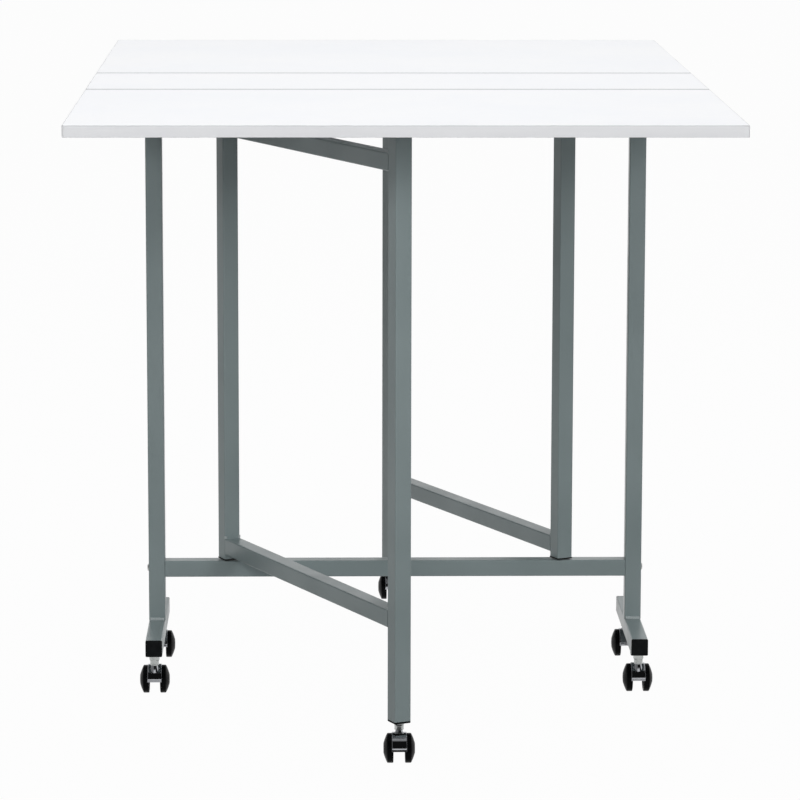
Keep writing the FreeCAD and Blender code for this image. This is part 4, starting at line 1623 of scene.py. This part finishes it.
@dataclass
class Studio:
    """White surroundings, a pale floor, soft lamps and the camera.

    Pairs that aren't tones are the places between which a tone changes.

    Attributes:
        floor_white: How much of its own light the floor shows the camera.
        floor_gloss: The floor's brightness in polished metal.
        floor_sheen: How much brighter it is there behind the table.
        sheen_start: Where along Y it brightens.
        sheen_side: How far from the middle it brightens.
        strip_near: Where along Y the dark strip on the floor ends towards the table.
        strip_far: Where it ends in front.
        strip_tone: The strip's brightness, as a share.
        wall_behind: The tones of the room behind, by the height of the look.
        wall_in_front: The same in front.
        front_reach: How far along Y the room's front takes over.
        left_reach: How far along X the room's left side does.
        yaw: How far the camera is turned to the right, in radians.
        pitch: How far it looks down.
        focal_pixels: Its focal length in picture elements, image_width of which are the picture.
    """

    ambient: float = 0.06
    floor_size: float = 60.0
    floor_white: float = 0.975
    floor_gloss: float = 0.70
    floor_sheen: float = 0.28
    sheen_start: Pair = (-0.15, 0.25)
    sheen_side: Pair = (1.6, 0.8)
    strip_near: Pair = (-0.70, -0.66)
    strip_far: Pair = (-1.5, -1.9)
    strip_tone: float = 0.06
    wall_behind: tuple[Pair, ...] = ((0.0, 1.0), (0.48, 1.0), (0.66, 0.46), (1.0, 0.46))
    wall_in_front: tuple[Pair, ...] = (
        (0.0, 1.0),
        (0.11, 1.0),
        (0.16, 0.012),
        (0.86, 0.012),
        (0.94, 0.46),
    )
    front_reach: Pair = (-0.35, -0.05)
    left_reach: Pair = (-0.60, -0.15)
    left_tone: float = 0.30
    camera_place: Place = (-0.1186, -5.9263, 1.4151)
    yaw: float = 0.0214
    pitch: float = 0.1670
    roll: float = 0.0020
    focal_pixels: float = 3910.4
    image_width: float = 800.0
    sensor: float = 36.0

    def lamps(self) -> list[Softbox]:
        """List the lamps."""
        return [
            Softbox("overhead", (0.0, 0.6, 4.4), (0.0, 0.0, 0.9), 4.5, 4.5, 143.0),
            Softbox("key_right", (3.6, -6.2, 2.6), (0.0, 0.0, 0.5), 2.4, 2.6, 82.0),
            Softbox("high_right", (3.6, -4.6, 3.6), (0.0, 0.0, 0.5), 2.0, 2.0, 74.0),
            Softbox("front", (0.3, -6.5, 2.4), (0.0, 0.0, 0.6), 3.0, 1.6, 55.0),
            Softbox("near_left", (-1.9, -3.2, 2.3), (0.0, -0.4, 0.6), 1.0, 0.8, 36.0),
        ]

    def room_tone(self, graph: NodeGraph) -> Socket:
        """Work out what polished metal sees.

        It sees a bright wall behind, a bright skirting line in front, and a dark room above that
        line and on the left.

        Args:
            graph: The world's nodes.

        Returns:
            The tone.
        """
        direction = graph.node("ShaderNodeTexCoord").outputs["Generated"]
        look = graph.node("ShaderNodeSeparateXYZ", direction).outputs
        walls = [
            graph.ramp(look["Z"], [(height, (tone, tone, tone)) for height, tone in stops])
            for stops in (self.wall_behind, self.wall_in_front)
        ]
        in_front = graph.mapped(look["Y"], self.front_reach, (1.0, 0.0), "SMOOTHSTEP")
        on_left = graph.mapped(look["X"], self.left_reach, (1.0, 0.0), "SMOOTHSTEP")
        around = graph.node("ShaderNodeMixRGB", in_front, *walls).outputs["Color"]
        left = (self.left_tone, self.left_tone, self.left_tone, 1.0)
        return graph.node("ShaderNodeMixRGB", on_left, around, left).outputs["Color"]

    def paint_world(self) -> None:
        """Give white to the camera, plain light to surfaces and a studio to the metal."""
        world = bpy.data.worlds.new("studio_world")
        bpy.context.scene.world = world
        world.use_nodes = True
        world.node_tree.nodes.clear()
        graph = NodeGraph(world.node_tree)
        rays = graph.node("ShaderNodeLightPath").outputs
        bright = (1.0, 1.0, 1.0, 1.0)
        plain, white, room = (
            graph.node("ShaderNodeBackground", tone, strength).outputs["Background"]
            for tone, strength in (
                (bright, self.ambient),
                (bright, 1.0),
                (self.room_tone(graph), 1.0),
            )
        )
        metal = graph.node("ShaderNodeMixShader", rays["Is Glossy Ray"], plain, room)
        seen = graph.math("MAXIMUM", rays["Is Camera Ray"], rays["Is Transmission Ray"])
        final = graph.node("ShaderNodeMixShader", seen, metal.outputs["Shader"], white)
        graph.node("ShaderNodeOutputWorld", Surface=final.outputs["Shader"])

    def floor_tone(self, graph: ShaderGraph) -> Socket:
        """Work out how bright the floor is in polished metal.

        It is palest behind the table, and in front of it a dark strip crosses it.

        Args:
            graph: The floor's material.

        Returns:
            The brightness.
        """
        place = graph.node("ShaderNodeSeparateXYZ", graph.place).outputs
        sideways = graph.math("ABSOLUTE", place["X"])
        behind = graph.mapped(place["Y"], self.sheen_start)
        pale = graph.math("MULTIPLY", behind, self.floor_sheen)
        sheen = graph.math("MULTIPLY", graph.mapped(sideways, self.sheen_side), pale)
        tone = graph.math("ADD", sheen, self.floor_gloss)
        near = graph.mapped(place["Y"], self.strip_near)
        far = graph.mapped(place["Y"], self.strip_far)
        lit = graph.math("MAXIMUM", near, far)
        return graph.math("MULTIPLY", tone, graph.math("MAXIMUM", lit, self.strip_tone))

    def floor_paint(self) -> Material:
        """Mix the floor's paint, which is nearly white to the camera and takes shadows."""
        graph = ShaderGraph("studio_floor_paint")
        graph.tint(graph.noise(1.5), (0.39, 0.39, 0.39), (0.41, 0.41, 0.41))
        graph.shade(Roughness=0.9, Specular_IOR_Level=0.0)
        rays = graph.node("ShaderNodeLightPath").outputs
        metal = rays["Is Glossy Ray"]
        share = graph.math("MULTIPLY_ADD", rays["Is Camera Ray"], self.floor_white, metal)
        dimmed = graph.math("SUBTRACT", self.floor_tone(graph), 1.0)
        strength = graph.math("MULTIPLY_ADD", metal, dimmed, 1.0)
        glow = graph.node("ShaderNodeEmission", Strength=strength).outputs["Emission"]
        mix = graph.node("ShaderNodeMixShader", share, graph.shader.outputs["BSDF"], glow)
        graph.fill(graph.nodes["Material Output"], "Surface", mix.outputs["Shader"])
        return graph.material

    def lay_floor(self) -> None:
        """Lay the pale floor."""
        shape = bmesh.new()
        bmesh.ops.create_grid(shape, x_segments=4, y_segments=4, size=self.floor_size / 2)
        mesh = bpy.data.meshes.new("studio_floor")
        shape.to_mesh(mesh)
        shape.free()
        mesh.materials.append(self.floor_paint())
        floor = bpy.data.objects.new("studio_floor", mesh)
        bpy.context.scene.collection.objects.link(floor)

    def aim_camera(self) -> None:
        """Stand the camera in front of the table, a little above its top."""
        data = bpy.data.cameras.new("camera")
        data.sensor_width = self.sensor
        data.lens = self.focal_pixels / self.image_width * self.sensor
        data.clip_end = 2 * self.floor_size
        camera = bpy.data.objects.new("camera", data)
        bpy.context.scene.collection.objects.link(camera)
        camera.location = self.camera_place
        yaw = Matrix.Rotation(-self.yaw, 4, "Z")
        pitch = Matrix.Rotation(math.pi / 2 - self.pitch, 4, "X")
        roll = Matrix.Rotation(self.roll, 4, "Z")
        camera.rotation_euler = (yaw @ pitch @ roll).to_euler()
        bpy.context.scene.camera = camera

    def build(self) -> None:
        """Set up the whole studio."""
        bpy.context.scene.view_settings.view_transform = "Standard"
        self.paint_world()
        self.lay_floor()
        for lamp in self.lamps():
            lamp.hang()
        self.aim_camera()


def main() -> None:
    """Dress the table and set up the studio."""
    logging.basicConfig(level=logging.INFO, format="%(name)s: %(message)s")
    Studio().build()
    shop = Workshop()
    shop.dress_frame()
    Board("centre_panel", "frame").build(shop)
    Board("front_leaf_panel", "front_leaf", rounded=(Side.FRONT,)).build(shop)
    Board("rear_leaf_panel", "rear_leaf", rounded=(Side.REAR,)).build(shop)
    Fasteners(shop).build()
    welds = Welds(shop)
    welds.side_frames()
    welds.gate("front")
    welds.gate("rear")
    CasterSet(shop).build()
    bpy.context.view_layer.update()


if __name__ == "__main__":
    main()
